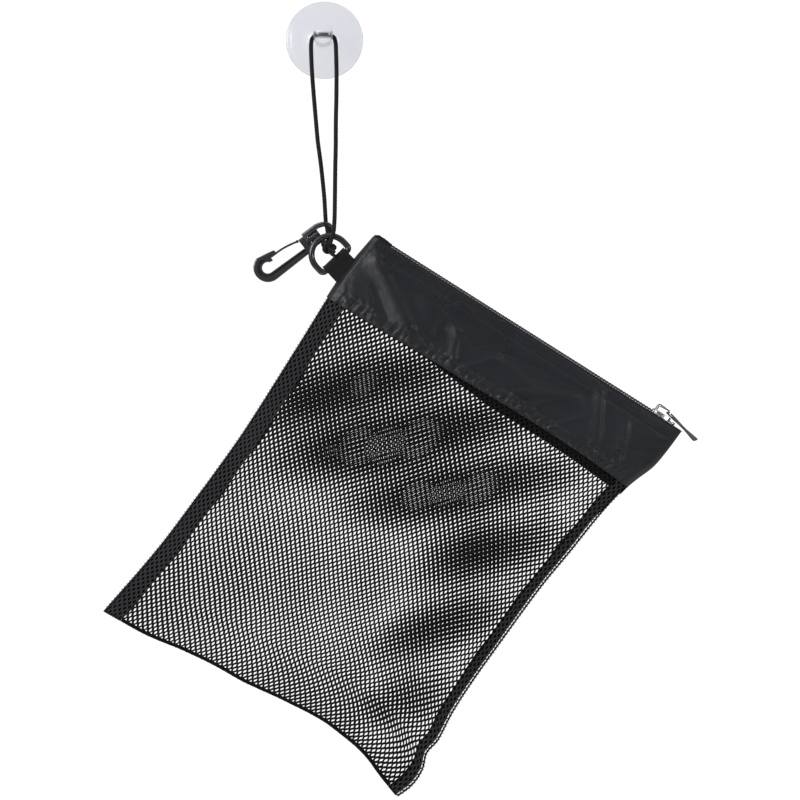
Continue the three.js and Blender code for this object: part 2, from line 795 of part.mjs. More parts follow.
// The gate's tongue, bowed outwards from its root to its tip
function hookGate() {
  const line = Array.from({ length: gateSteps + 1 }, (_, i) => {
    const share = i / gateSteps;
    const bow = gateBow * Math.sin(Math.PI * share);
    return [lerp(gatePivotAlong, gateTipAlong, share), lerp(gatePivotAcross, gateTipAcross, share) + bow];
  });
  const half = gateThickness / 2;
  const upper = line.map(([x, z]) => [x, z + half]);
  const lower = line.map(([x, z]) => [x, z - half]).reverse();
  const tongue = plate([...upper, ...lower], gateWidth);
  const rootCircle = arc(gatePivotAlong, gatePivotAcross, gateRootRadius, 0, 2 * Math.PI, gateRootSteps);
  const root = plate(rootCircle.slice(0, -1), gateWidth);
  return joined([tongue, root]);
}

function bailLoop(start, inset) {
  const side = bailHalfWidth - inset;
  const reach = bailEnd - inset - bailArchStart;
  const arch = arc(0, 0, 1, -Math.PI / 2, Math.PI / 2, bailRoundSteps).map(([along, across]) => (
    [bailArchStart + reach * along, side * across - bailSkew * along]
  ));
  return [[start, -side], ...arch, [start, side]];
}

function hookBail() {
  const outline = bailLoop(bailStart, 0);
  const hole = bailLoop(bailStart + bailBase, bailWall);
  const loop = plate(outline, bailStrap, [hole]);
  const baseEnd = bailStart + bailBase;
  const collar = turned([
    [bailStart, 0], [bailStart, bailCollarRadius], [baseEnd, bailCollarRadius], [baseEnd, 0],
  ], hookTurnedSides);
  const bore = turned([
    [bailStart - cutOverrun, 0], [bailStart - cutOverrun, postRadius + seatGap],
    [bailStart + bailBase + cutOverrun, postRadius + seatGap], [bailStart + bailBase + cutOverrun, 0],
  ], hookTurnedSides);
  return cut(joined([loop, collar]), [bore]);
}

// Finishes

const finishes = {
  clearPvc: { color: 0xd9dae6, roughness: 0.15, metalness: 0 },
  cord: { color: 0x17181a, roughness: 0.85, metalness: 0 },
  blackPlastic: { color: 0x2c2c30, roughness: 0.35, metalness: 0 },
  webbing: { color: 0x1a1a1c, roughness: 0.9, metalness: 0 },
  taffeta: { color: 0x2a2b2e, roughness: 0.6, metalness: 0 },
  net: { color: 0x1b1b1d, roughness: 0.9, metalness: 0 },
  tape: { color: 0x1d1e20, roughness: 0.9, metalness: 0 },
  coil: { color: 0x232427, roughness: 0.45, metalness: 0 },
  chrome: { color: 0xdcdee2, roughness: 0.15, metalness: 1 },
};

function named(name, geometry, finish) {
  const mesh = new THREE.Mesh(geometry, new THREE.MeshStandardMaterial(finishes[finish]));
  mesh.name = name;
  return mesh;
}

function frameAt(x, y, z, turn, children) {
  const frame = new THREE.Group();
  frame.position.set(x, y, z);
  frame.rotation.y = turn;
  frame.add(...children);
  return frame;
}

// Assembly

const bag = frameAt(bagCornerX, -hangDepth, -bagCornerDrop, bagTilt, [
  named('header_front', header(-1), 'taffeta'),
  named('header_back', header(1), 'taffeta'),
  named('mesh_front', net(-1), 'net'),
  named('mesh_back', net(1), 'net'),
  named('side_seam_left', sideSeam(0), 'net'),
  named('side_seam_right', sideSeam(1), 'net'),
  named('bottom_seam', bottomSeam(), 'net'),
  named('zip_tape_front', zipTape(-1), 'tape'),
  named('zip_tape_back', zipTape(1), 'tape'),
  named('zip_coil_front', zipCoil(-1), 'coil'),
  named('zip_coil_back', zipCoil(1), 'coil'),
  named('zip_top_stop_front', topStop(-1), 'chrome'),
  named('zip_top_stop_back', topStop(1), 'chrome'),
  named('zip_bottom_stop', bottomStop(), 'chrome'),
]);

const slider = named('zip_slider', zipSlider(), 'chrome');
const pull = named('zip_pull', zipPull(), 'chrome');
slider.position.set(sliderPlace, 0, 0);
pull.position.set(sliderPlace + crownBarX, 0, crownBarZ);
pull.rotation.set(pullRoll, pullDroop, pullYaw, 'ZYX');
bag.add(slider, pull);

const ring = frameAt(ringX, -hangDepth, -ringDrop, ringTilt, [
  named('d_ring', dRing(), 'blackPlastic'),
  named('webbing_tab', webbingTab(), 'webbing'),
]);

const bail = named('hook_bail', hookBail(), 'blackPlastic');
bail.rotation.x = bailTurn;
const hook = frameAt(hookX, -hookDepth, -hookDrop, hookTilt, [
  named('hook_body', hookBody(), 'blackPlastic'),
  named('hook_gate', hookGate(), 'blackPlastic'),
  bail,
]);

const group = new THREE.Group();
group.add(
  named('suction_cup', suctionCup(), 'clearPvc'),
  named('hang_cord', hangCord(), 'cord'),
  named('cord_knot', cordKnot(), 'cord'),
  ring,
  hook,
  bag,
);

export default group;
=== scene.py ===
# %% [markdown]
# A mesh shower bag hangs by a loop of cord from a clear suction cup, with a D-ring and a snap hook
# at its corner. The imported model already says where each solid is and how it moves. What it lacks
# is the look: open net, shiny cloth, braid, stitches, coil teeth. One could sculpt these by hand,
# but here each surface is a formula worked out with numpy, because a formula can be read, changed
# and measured. The frame is loaded first and never moved.

import math

import bpy
import numpy as np
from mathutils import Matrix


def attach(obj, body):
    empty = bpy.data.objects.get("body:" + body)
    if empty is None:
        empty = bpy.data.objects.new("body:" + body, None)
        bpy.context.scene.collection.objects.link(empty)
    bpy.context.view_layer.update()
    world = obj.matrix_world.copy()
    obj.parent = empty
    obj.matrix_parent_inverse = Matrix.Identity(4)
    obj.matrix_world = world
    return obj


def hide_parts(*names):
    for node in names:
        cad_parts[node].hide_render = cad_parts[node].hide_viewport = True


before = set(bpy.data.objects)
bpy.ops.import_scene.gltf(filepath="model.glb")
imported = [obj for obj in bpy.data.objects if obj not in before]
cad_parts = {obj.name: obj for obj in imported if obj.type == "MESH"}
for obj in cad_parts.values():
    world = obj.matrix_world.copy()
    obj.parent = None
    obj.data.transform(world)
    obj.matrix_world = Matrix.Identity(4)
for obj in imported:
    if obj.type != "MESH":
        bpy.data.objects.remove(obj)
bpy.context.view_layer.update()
print("nodes:", len(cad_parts))

# %% [markdown]
# A product photograph is taken square to the wall from well over a metre away. The camera therefore
# looks straight along +Y. Its distance and angle come from matching the bag's corners to the
# picture, and the picture is square, so one angle serves both ways.

# %% Camera
view_angle = math.radians(23.43)
camera_place = (0.0536, -1.370, -0.2554)


def new_object(name, data):
    """An object that holds that data, put into the scene."""
    made = bpy.data.objects.new(name, data)
    bpy.context.collection.objects.link(made)
    return made


camera_data = bpy.data.cameras.new("camera")
camera_data.sensor_width = 36
camera_data.lens = camera_data.sensor_width / 2 / math.tan(view_angle / 2)
camera = new_object("camera", camera_data)
camera.location = camera_place
camera.rotation_euler = (math.pi / 2, 0, 0)
bpy.context.scene.camera = camera
print("lens", round(camera_data.lens, 1), "mm")

# %% [markdown]
# The light of the studio and the finish of every piece are both built from nodes. One could place
# nodes by hand in the editor, but three short helpers make them quicker to read: a node with its
# inputs, one sum, and a material whose constants go straight into the shader's own sockets.

# %% Nodes


def node(owner, kind, inputs, **settings):
    """A node of that kind in a material or world. Each input is a constant, or the socket that
    feeds it."""
    tree = owner.node_tree
    made = tree.nodes.new("ShaderNode" + kind)
    for label, value in settings.items():
        setattr(made, label, value)
    for key, value in inputs.items():
        if isinstance(value, bpy.types.NodeSocket):
            tree.links.new(value, made.inputs[key])
        else:
            made.inputs[key].default_value = value
    return made


def calc(owner, operation, *values):
    """The result of one sum."""
    return node(owner, "Math", dict(enumerate(values)), operation=operation).outputs[0]


def new_finish(name, color, roughness, **sockets):
    """A material whose shader has that colour and roughness, and the named sockets set by value."""
    finish = bpy.data.materials.new(name)
    finish.use_nodes = True
    shader = finish.node_tree.nodes["Principled BSDF"]
    shader.inputs["Base Color"].default_value = (*color, 1)
    shader.inputs["Roughness"].default_value = roughness
    for label, value in sockets.items():
        shader.inputs[label.replace("_", " ")].default_value = value
    finish.diffuse_color = (*color, 1)
    return finish


print("node helpers ready")

# %% [markdown]
# The real bag hangs before a white backdrop in a room that is dark on the camera's side, with soft
# light from the upper left. The world is therefore white to the eye, also through clear plastic,
# while to the object it grows from nearly dark below to bright above. So black cloth stays black.
# Two soft lamps then draw the folds and the gloss, and a small one near the camera shines back from
# the bright metal.

# %% World and lamps
white_level = 1.06
light_from = (-0.4, 0.2, 0.89)
scene = bpy.context.scene
scene.view_settings.view_transform = "Standard"
world = bpy.data.worlds.new("studio")
world.use_nodes = True
scene.world = world
direction = node(world, "TexCoord", {}).outputs["Generated"]
overhead = node(world, "VectorMath", {0: direction, 1: light_from}, operation="DOT_PRODUCT")
sky = node(world, "MapRange", {
    "Value": overhead.outputs["Value"], "From Min": -0.2, "To Min": 0.06, "To Max": 0.85})
forward = node(world, "SeparateXYZ", {0: direction}).outputs["Y"]
ahead = node(world, "MapRange", {"Value": forward, "From Min": 0.4, "From Max": 0.9})
light_path = node(world, "LightPath", {})
through = calc(
    world, "MULTIPLY", ahead.outputs["Result"], light_path.outputs["Is Transmission Ray"])
seen = calc(world, "MAXIMUM", light_path.outputs["Is Camera Ray"], through)
level = node(world, "MapRange", {
    "Value": seen, "To Min": sky.outputs["Result"], "To Max": white_level})
backdrop = world.node_tree.nodes["Background"]
backdrop.inputs["Color"].default_value = (1.0, 1.0, 1.0, 1.0)
world.node_tree.links.new(level.outputs["Result"], backdrop.inputs["Strength"])


def soft_lamp(name, place, aim, size, power):
    """A square area lamp at place, turned so that its -Z axis points at aim."""
    lamp = bpy.data.lights.new(name, "AREA")
    lamp.size = size
    lamp.energy = power
    way = np.array(aim) - np.array(place)
    turn = math.atan2(way[1], way[0]) - math.pi / 2
    tip = math.acos(-way[2] / np.linalg.norm(way))
    holder = new_object(name, lamp)
    holder.location = place
    holder.rotation_euler = (tip, 0, turn)


bag_aim = (0.1, 0.0, -0.25)
pull_aim = (0.22, 0.0, -0.27)
soft_lamp("key", (-0.95, -0.95, 0.25), bag_aim, 0.55, 10)
soft_lamp("fill", (1.1, -1.0, 0.1), bag_aim, 0.22, 4)
soft_lamp("spark", (0.39, -1.4, -0.28), pull_aim, 0.1, 0.2)

# %% [markdown]
# The floor is plain and pale and lies well under the bag, out of the camera's view. It is stage and
# not part of the object.

# %% Floor
floor_z = -0.74
floor_mesh = bpy.data.meshes.new("floor")
floor_mesh.from_pydata(
    [(x, y, floor_z) for x, y in ((-1, -1), (1.2, -1), (1.2, 0.8), (-1, 0.8))], [], [(0, 1, 2, 3)])
floor_mesh.materials.append(new_finish("floor_paint", (0.86, 0.86, 0.85), 0.9))
floor = new_object("floor", floor_mesh)
print("floor at", floor_z, "m")

# %% [markdown]
# Shapes are easier to think of in millimetres and in whole tables. Three words come back all the
# time: coordinates set together, the angles of a full turn, and the length walked along a path.

# %% Tables of points
MM = 0.001
QUARTER = math.pi / 2
CLOTH_UV = 2  # cloth counts its millimetres from here, clear of the single turn of a tube's U


def together(*parts):
    """Coordinates spread to one shape and set side by side on a new last axis."""
    return np.stack(np.broadcast_arrays(*parts), -1)


def round_turn(count):
    """The angles of equal steps of a full turn."""
    return np.arange(count) * 2 * math.pi / count


def walked(path):
    """The length of a path up to each of its points: the running sum of its steps."""
    return np.concatenate([[0], np.cumsum(np.linalg.norm(np.diff(path, axis=0), axis=1))])


print("a square's rim is walked in", walked([(0, 0), (1, 0), (1, 1), (0, 1), (0, 0)]).tolist())

# %% [markdown]
# Every piece below is one or more closed shells. A shell is a table of points and the faces between
# them. It could be built face by face, but whole tables are quicker and easier to check: the signed
# volume of a shell tells at once whether its faces look outwards.

# %% Shells


def grid_quads(rows, columns, close_rows=False, close_columns=False):
    """Corner numbers of the squares of a grid of points. A closed way joins its last line of points
    to its first."""
    i = np.arange(rows if close_rows else rows - 1)[:, None]
    j = np.arange(columns if close_columns else columns - 1)[None, :]
    up, right = (i + 1) % rows, (j + 1) % columns
    corners = together(i * columns + j, i * columns + right, up * columns + right, up * columns + j)
    return corners.reshape(-1, 4)


def shell(points, quads=(), tris=(), uv=None):
    """One closed surface. Its volume is a sixth of the sum of a . (b x c) over its triangles, and
    where that comes out negative every face is turned round."""
    points = np.asarray(points, float).reshape(-1, 3)
    quads = np.asarray(quads, int).reshape(-1, 4)
    tris = np.asarray(tris, int).reshape(-1, 3)
    every = np.concatenate([quads[:, :3], quads[:, [0, 2, 3]], tris])
    a, b, c = (points - points.mean(0))[every].transpose(1, 0, 2)
    if np.einsum("ij,ij->", a, np.cross(b, c)) < 0:
        quads, tris = quads[:, ::-1], tris[:, ::-1]
    uv = np.zeros((len(points), 2)) if uv is None else np.asarray(uv, float).reshape(-1, 2)
    return {"points": points, "quads": quads, "tris": tris, "uv": uv}


def loft(rings, closed=False):
    """A skin over a stack of rings of equal count. U is the share of the way round, V the length
    along the ring centres in millimetres. Each end gets a fan of triangles round its middle, unless
    the stack is closed."""
    rings = np.asarray(rings, float)
    count, sides, _ = rings.shape
    middles = rings.mean(1)
    along = walked(middles)
    uv = together(np.arange(sides)[None, :] / sides, along[:, None]).reshape(-1, 2)
    points, tris = rings.reshape(-1, 3), ()
    if not closed:
        k = np.arange(sides)
        following = (k + 1) % sides
        hub = count * sides
        last = hub - sides
        tris = np.concatenate([
            together(hub, following, k), together(hub + 1, last + k, last + following)])
        points = np.concatenate([points, middles[[0, -1]]])
        uv = np.concatenate([uv, [[0.5, along[0]], [0.5, along[-1]]]])
    return shell(points, grid_quads(count, sides, closed, True), tris, uv)


def thicken(outer, inner, faces, uv):
    """A closed solid from one layer of faces: the outer points, the inner points, and a wall on
    every edge that only one face uses, round the border and round each hole alike."""
    count = len(outer)
    edges = np.concatenate([faces[:, [k, (k + 1) % 4]] for k in range(4)])
    keys = edges.min(1) * count + edges.max(1)
    _, first, uses = np.unique(keys, return_index=True, return_counts=True)
    a, b = edges[first[uses == 1]].T
    quads = np.concatenate([faces, faces[:, ::-1] + count, together(b, a, a + count, b + count)])
    return shell(np.concatenate([outer, inner]), quads, (), np.concatenate([uv, uv]))


def slab(outer, inner, uv, close_columns=False):
    """The closed solid between two grids of points of one shape."""
    faces = grid_quads(*outer.shape[:2], close_columns=close_columns)
    return thicken(outer.reshape(-1, 3), inner.reshape(-1, 3), faces, uv.reshape(-1, 2))


print("a closed band of 4 by 6 points has", len(grid_quads(4, 6, False, True)), "faces")

# %% [markdown]
# Cords, rings, stitches and coils are all one shape: a section carried along a line. The line is
# turned into many short steps, and at each step the section stands square to it. Parts that lean
# are drawn upright in a frame of their own, which is easier to read, and then set in place.

# %% Sections carried along a line


def sweep(path, section, closed=False, out=(0.0, 1.0, 0.0)):
    """Rings of the section along the path. The out axis is the given one less its share along the
    line, the aside axis is the line crossed with it. The section is a table of (aside, out), one
    for all steps or one for each."""
    path = np.asarray(path, float)
    section = np.asarray(section, float)
    if closed:
        along = np.roll(path, -1, 0) - np.roll(path, 1, 0)
    else:
        along = np.gradient(path, axis=0)
    along = along / np.linalg.norm(along, axis=1, keepdims=True)
    out = np.asarray(out, float) - along * (along @ np.asarray(out, float))[:, None]
    out = out / np.linalg.norm(out, axis=1, keepdims=True)
    aside = np.cross(along, out)
    section = np.broadcast_to(section, (len(path),) + section.shape[-2:])
    return path[:, None] + section[..., :1] * aside[:, None] + section[..., 1:] * out[:, None]


def circle(radius, sides):
    """Points of a circle: radius times (cosine, sine) of equal steps of the full turn."""
    turn = round_turn(sides)
    return radius * together(np.cos(turn), np.sin(turn))


def turn_about(axis, angle):
    """The table that turns points about X, Y or Z, for points written as rows."""
    c, s = math.cos(angle), math.sin(angle)
    return np.array({
        "x": [[1, 0, 0], [0, c, s], [0, -s, c]],
        "y": [[c, 0, -s], [0, 1, 0], [s, 0, c]],
        "z": [[c, s, 0], [-s, c, 0], [0, 0, 1]],
    }[axis])


def placed(points, origin, tilt):
    """Points of a frame that stands at origin and leans clockwise by tilt in the XZ plane, as seen
    from the front."""
    return np.asarray(points, float) @ turn_about("y", tilt) + np.asarray(origin, float)


print("a circle of 4 sides:", circle(1, 4).round(2).tolist())

# %% [markdown]
# Tables become a Blender object in one step. foreach_set copies them whole, which is far quicker
# than adding faces one at a time. The object stays at the origin, because its place is in its mesh,
# and it rides on a body of the frame, so that it moves when the joints do.

# %% Pieces


def add_piece(name, shells, finish, body, nodes, crease=40, bevel=0.0):
    """One object at the origin from shells in millimetres of the row frame. UV seams of closed
    rings are mended by adding a whole turn to the corners that fall behind. It rides on its body
    and replaces its nodes."""
    shells = [shells] if isinstance(shells, dict) else shells
    starts = np.cumsum([0] + [len(s["points"]) for s in shells])
    points = np.concatenate([s["points"] for s in shells]) * MM
    quads = np.concatenate([s["quads"] + start for s, start in zip(shells, starts)])
    tris = np.concatenate([s["tris"] + start for s, start in zip(shells, starts)])
    uv = np.concatenate([s["uv"] for s in shells])
    corners = np.concatenate([quads.ravel(), tris.ravel()]).astype(np.int32)
    first = np.concatenate([
        np.arange(len(quads)) * 4, len(quads) * 4 + np.arange(len(tris)) * 3]).astype(np.int32)
    mesh = bpy.data.meshes.new(name)
    mesh.vertices.add(len(points))
    mesh.vertices.foreach_set("co", points.astype(np.float32).ravel())
    mesh.loops.add(len(corners))
    mesh.loops.foreach_set("vertex_index", corners)
    mesh.polygons.add(len(first))
    mesh.polygons.foreach_set("loop_start", first)
    mesh.polygons.foreach_set("use_smooth", np.ones(len(first), bool))
    mesh.update(calc_edges=True)
    face_uv = uv[quads]
    u = face_uv[..., 0]
    face_uv[..., 0] += (u < u.max(1, keepdims=True) - 0.5) & (u <= 1).all(1)[:, None]
    flat = np.concatenate([face_uv.reshape(-1, 2), uv[tris].reshape(-1, 2)])
    mesh.uv_layers.new(name="UVMap").data.foreach_set("uv", flat.astype(np.float32).ravel())
    mesh.set_sharp_from_angle(angle=math.radians(crease))
    mesh.materials.append(finish)
    obj = new_object(name, mesh)
    if bevel:
        edge = obj.modifiers.new("edge", "BEVEL")
        edge.width = bevel * MM
        edge.segments = 2
        edge.limit_method = "ANGLE"
        edge.angle_limit = math.radians(35)
    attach(obj, body)
    if nodes:
        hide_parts(*nodes)
    print(name, len(quads) * 2 + len(tris), "triangles")
    return obj


print("pieces are made in millimetres, and one is", MM, "m")

# %% [markdown]
# A real finish is never one flat colour. Plastic has cloudy patches of gloss, and cloth and cord
# have threads. Noise on the object's own coordinates gives the first, and waves along the piece's
# own UV map give the second, because threads follow the cloth wherever it bends. Where a colour
# follows those waves, its darkness in the grooves between threads is painted shade.

# %% Finishes


def feed(finish, socket, value):
    """Links a result to a socket of the finish's shader."""
    shader = finish.node_tree.nodes["Principled BSDF"]
    finish.node_tree.links.new(value, shader.inputs[socket])


def tones(finish, share, dark, light):
    """Base colour between two tones by a share from 0 to 1."""
    mixed = node(finish, "Mix", {0: share, 6: (*dark, 1), 7: (*light, 1)}, data_type="RGBA")
    feed(finish, "Base Color", mixed.outputs[2])


def roughness_by(finish, share, low, high):
    """Roughness between two values by a share from 0 to 1."""
    spread = node(finish, "MapRange", {"Value": share, "To Min": low, "To Max": high})
    feed(finish, "Roughness", spread.outputs["Result"])


def relief(finish, height, depth):
    """Bumps of that depth in metres from a height between 0 and 1."""
    bump = node(finish, "Bump", {"Height": height, "Strength": 1.0, "Distance": depth})
    feed(finish, "Normal", bump.outputs["Normal"])


def noise(finish, scale, detail=3.0, where=None):
    """A cloud pattern of so many lumps to the metre, on Object coordinates if no others are
    given."""
    if where is None:
        where = node(finish, "TexCoord", {}).outputs["Object"]
    cloud = node(finish, "TexNoise", {"Vector": where, "Scale": scale, "Detail": detail})
    return cloud.outputs["Fac"]


def uv_axes(finish):
    """The two directions of the piece's own UV map."""
    where = node(finish, "TexCoord", {}).outputs["UV"]
    split = node(finish, "SeparateXYZ", {"Vector": where})
    return split.outputs["X"], split.outputs["Y"]


def wave(finish, value, period):
    """A wave between 0 and 1 that repeats each period of the value."""
    angle = calc(finish, "MULTIPLY", value, 2 * math.pi / period)
    return calc(finish, "MULTIPLY_ADD", calc(finish, "SINE", angle), 0.5, 0.5)


def leaning_waves(finish, across, along, lean, period):
    """Two waves that lean opposite ways: over across plus, and across less, lean times along."""
    slant = calc(finish, "MULTIPLY", along, lean)
    return [wave(finish, calc(finish, way, across, slant), period) for way in ("ADD", "SUBTRACT")]


print("finish helpers ready")

# %% [markdown]
# Bent things are measured at a few points and are smooth between them. Blender's own curves could
# join the points, but a cubic worked out here can be cut into steps of any length, and the same
# cubic later draws the bag's outline.

# %% Smooth lines


def cubic(x, start, leave, end, reach):
    """The cubic from start to end for x from 0 to 1, with the slopes leave and reach at its
    ends."""
    return ((2 * x**3 - 3 * x**2 + 1) * start + (x**3 - 2 * x**2 + x) * leave
            + (3 * x**2 - 2 * x**3) * end + (x**3 - x**2) * reach)


def even_steps(line, step):
    """The same line, cut into even steps of about that length."""
    along = walked(line)
    even = np.linspace(0, along[-1], max(int(along[-1] / step), 2) + 1)
    return np.stack([np.interp(even, along, line[:, k]) for k in range(line.shape[1])], -1)


def smooth_path(points, step):
    """A cubic from point to point, whose slopes come from the chords of its neighbours divided by
    the root of their lengths, cut into even steps."""
    points = np.asarray(points, float)
    padded = np.concatenate([[2 * points[0] - points[1]], points, [2 * points[-1] - points[-2]]])
    gaps = np.sqrt(np.linalg.norm(np.diff(padded, axis=0), axis=1))[:, None]
    place = np.linspace(0, len(points) - 1, 60 * len(points))
    stretch = np.minimum(place.astype(int), len(points) - 2)
    p0, p1, p2, p3 = (padded[stretch + k] for k in range(4))
    d0, d1, d2 = (gaps[stretch + k] for k in range(3))
    leave = ((p1 - p0) / d0 - (p2 - p0) / (d0 + d1) + (p2 - p1) / d1) * d1
    reach = ((p2 - p1) / d1 - (p3 - p1) / (d1 + d2) + (p3 - p2) / d2) * d1
    return even_steps(cubic((place - stretch)[:, None], p1, leave, p2, reach), step)


print("three points make a line of", len(smooth_path([(0, 0), (3, 1), (6, 0)], 0.5)), "points")

# %% [markdown]
# The cord comes first, because its length decides how everything under it hangs. It is a limp braid
# 3 mm thick, tied into one loop: from the knot up the left strand, over through the hole in the
# cup's knob, and down the right strand. The photograph shows the whole loop. Its line passes
# through measured points.

# %% The cord's line
cord_radius = 1.5
knot_middle = np.array([3.8, -20.0, -148.6])
knot_half = np.array([5.3, 4.5, 4.7])
left_exit, right_exit = (-0.1, 0.62, 0.78), (0.25, -0.75, 0.62)


def knot_exit(way, lifts):
    """Points over the knot's skin in that direction, lifted square off it: on an ellipsoid the
    square direction is the direction divided by the squared half sizes."""
    way = np.asarray(way, float) / np.linalg.norm(way)
    skin = knot_middle + way / np.linalg.norm(way / knot_half)
    square = way / knot_half**2
    return skin + np.outer(lifts, square / np.linalg.norm(square))


left_strand = [
    (3.8, -15.8, -141.2), (3.2, -15.7, -138.6), (2.7, -15.1, -136.5), (2.3, -12.7, -134.6),
    (2.0, -10.9, -133.1), (1.6, -10.8, -131.4), (1.2, -10.7, -128.4), (0.3, -11.4, -113.3),
    (-2.1, -12.8, -89.5), (-4.2, -14.1, -73.4), (-5.4, -15.4, -59.8), (-6.7, -17.0, -44.0),
    (-7.9, -18.6, -27.9), (-8.5, -19.7, -15.3),
]
right_strand = [
    (8.9, -20.1, -13.5), (9.2, -20.5, -27.9), (9.1, -21.1, -44.0), (8.8, -21.8, -59.8),
    (8.7, -22.7, -79.7), (8.4, -23.3, -93.7), (8.2, -24.0, -113.3), (7.9, -24.4, -129.4),
    (7.2, -24.5, -138.0),
]
bend = np.array([1, 0.66, 0.33, 0]) * QUARTER
left_bend = together(-3.5 - 5 * np.sin(bend), -20.0, 5 * np.cos(bend) - 5)
right_bend = (left_bend * [-1, 1, 1])[::-1]
cord_points = np.concatenate([
    knot_exit(left_exit, [-1.6, 0.3, 1.8]), left_strand, left_bend, right_bend, right_strand,
    knot_exit(right_exit, [1.8, 0.3, -1.6]),
])
cord_path = smooth_path(cord_points, 0.45)
print("cord", len(cord_path), "points,", round(walked(cord_path)[-1] * MM, 4), "m")

# %% [markdown]
# A braid's surface is two families of strands that wind opposite ways and dive under each other,
# which leaves rows of small pillows. A bump pattern alone would look smooth at the silhouette, so
# the pillows are in the mesh: the radius grows by the product of the two families' waves. The
# finish adds the fibres that run along each strand, as bumps and as colour: dark in the grooves
# between fibres as painted shade, lighter on their crests as painted highlight, flecked by noise.

# %% Braided cord
cord_finish = new_finish(
    "cord_braid", (0.012, 0.012, 0.013), 0.65, Specular_IOR_Level=0.3, Sheen_Weight=0.08)
turn, length_mm = uv_axes(cord_finish)
fibres = calc(
    cord_finish, "MULTIPLY", *leaning_waves(cord_finish, turn, length_mm, 0.22, 0.03125))
# Painted shade and highlight: the colour is dark in the fibre grooves and lighter on their crests,
# flecked by noise.
painted_fibre_shade = calc(cord_finish, "MULTIPLY", fibres, noise(cord_finish, 900))
tones(cord_finish, painted_fibre_shade, (0.004, 0.004, 0.005), (0.045, 0.045, 0.049))
relief(cord_finish, fibres, 0.00016)


def braid(path, radius, sides=24, pillows=8, pitch=4.6, depth=0.09):
    """A tube whose radius swells by depth times the product of two sine waves, one for each way of
    winding: each has that many crests in a full turn, and leans one turn in pillows times half the
    pitch."""
    path = np.asarray(path, float)
    angle = round_turn(sides)[None, :]
    lean = 2 * math.pi * walked(path)[:, None] / pitch
    swell = np.abs(np.sin(pillows / 2 * angle + lean)) * np.abs(np.sin(pillows / 2 * angle - lean))
    size = radius * (1 - depth / 2 + depth * swell)
    return loft(sweep(path, together(size * np.cos(angle), size * np.sin(angle))))


cord_shell = braid(cord_path, cord_radius)
hang_cord = add_piece("cord_loop", cord_shell, cord_finish, "hanger", ["hang_cord"])

# %% [markdown]
# The knot is an overhand knot pulled tight, with two short cut ends. A trefoil curve is exactly
# that knot with its ends joined, so a braided tube along a squashed trefoil has the right humps and
# hollows from every side. A small core fills its middle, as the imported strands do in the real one.

# %% Knot and its cut ends
t = np.linspace(0, 2 * math.pi, 181)[:-1]
trefoil = together(
    np.sin(t) + 2 * np.sin(2 * t), -2.5 * np.sin(3 * t), np.cos(t) - 2 * np.cos(2 * t))
trefoil = placed(trefoil * [1.65, 1.0, 1.2], knot_middle + [-0.5, 0, 0.2], math.radians(24))
strand_waves = 13
knot_walk = np.arange(len(trefoil)) * 2 * math.pi * strand_waves / len(trefoil)
knot_turn = round_turn(20)
knot_size = 1.35 * (0.96 + 0.08 * np.abs(np.sin(4 * knot_turn[None] + knot_walk[:, None])))
knot_section = knot_size[..., None] * together(np.cos(knot_turn), np.sin(knot_turn))
knot_tube = loft(sweep(trefoil, knot_section, closed=True), closed=True)
core_turn, core_rise = np.meshgrid(round_turn(24), np.linspace(-1.35, 1.35, 13))
core = together(
    np.cos(core_turn) * np.cos(core_rise), np.sin(core_turn) * np.cos(core_rise), np.sin(core_rise))
knot_shells = [knot_tube, loft(knot_middle + core * [3.2, 2.2, 2.8])]
for i, bow in enumerate((0.5, -0.4)):
    start = np.array([4.4, -23.0, -150.0 - 1.8 * i])
    along = np.linspace(0, 1, 22)[:, None]
    tail = start + along * [3.6, -2.6, -2.6 - 0.4 * i] + np.sin(math.pi * along) * [0, -0.2, bow]
    knot_shells.append(braid(tail, 1.2, 20, 8, 4.2, 0.12))
cord_knot = add_piece("knot", knot_shells, cord_finish, "hanger", ["cord_knot"])

# %% [markdown]
# A turned shape is a profile of radius and height, carried round an axis. Spin would do it as well,
# but it can leave faces that look inwards. A table of rings goes through the same loft as a cord.

# %% Turned shapes


def rounded(profile, step):
    """A profile's points joined by straight lines, cut into even steps and then averaged with
    their neighbours, which rounds the corners."""
    fine = even_steps(np.asarray(profile, float), step)
    for _ in range(3):
        fine[1:-1] = (fine[:-2] + 2 * fine[1:-1] + fine[2:]) / 4
    return fine


def turned(profile, sides, axis):
    """Rings of a profile of (along, radius) round the X or the -Y axis: radius times cosine and
    sine of the turn give the two other coordinates."""
    along, radius = np.asarray(profile, float).T[..., None]
    aside, out = radius * np.cos(round_turn(sides)), radius * np.sin(round_turn(sides))
    return together(along, aside, out) if axis == "x" else together(aside, -along, out)


def bare_object(name, part):
    """An object of that shell alone, for cutting."""
    mesh = bpy.data.meshes.new(name)
    mesh.from_pydata(part["points"] * MM, [], [*part["quads"].tolist(), *part["tris"].tolist()])
    return new_object(name, mesh)


print("rounding one corner leaves", len(rounded([(0, 0), (1, 0), (1, 1)], 0.1)), "points")

# %% [markdown]
# The suction cup is one moulding of soft clear PVC with a thick knob. Its profile runs from the
# middle of the foot out to the thin lip, back over the skirt, and up the neck to the knob's dome.
# The finish is clear but a little cloudy, because soft PVC never stays as clear as glass.

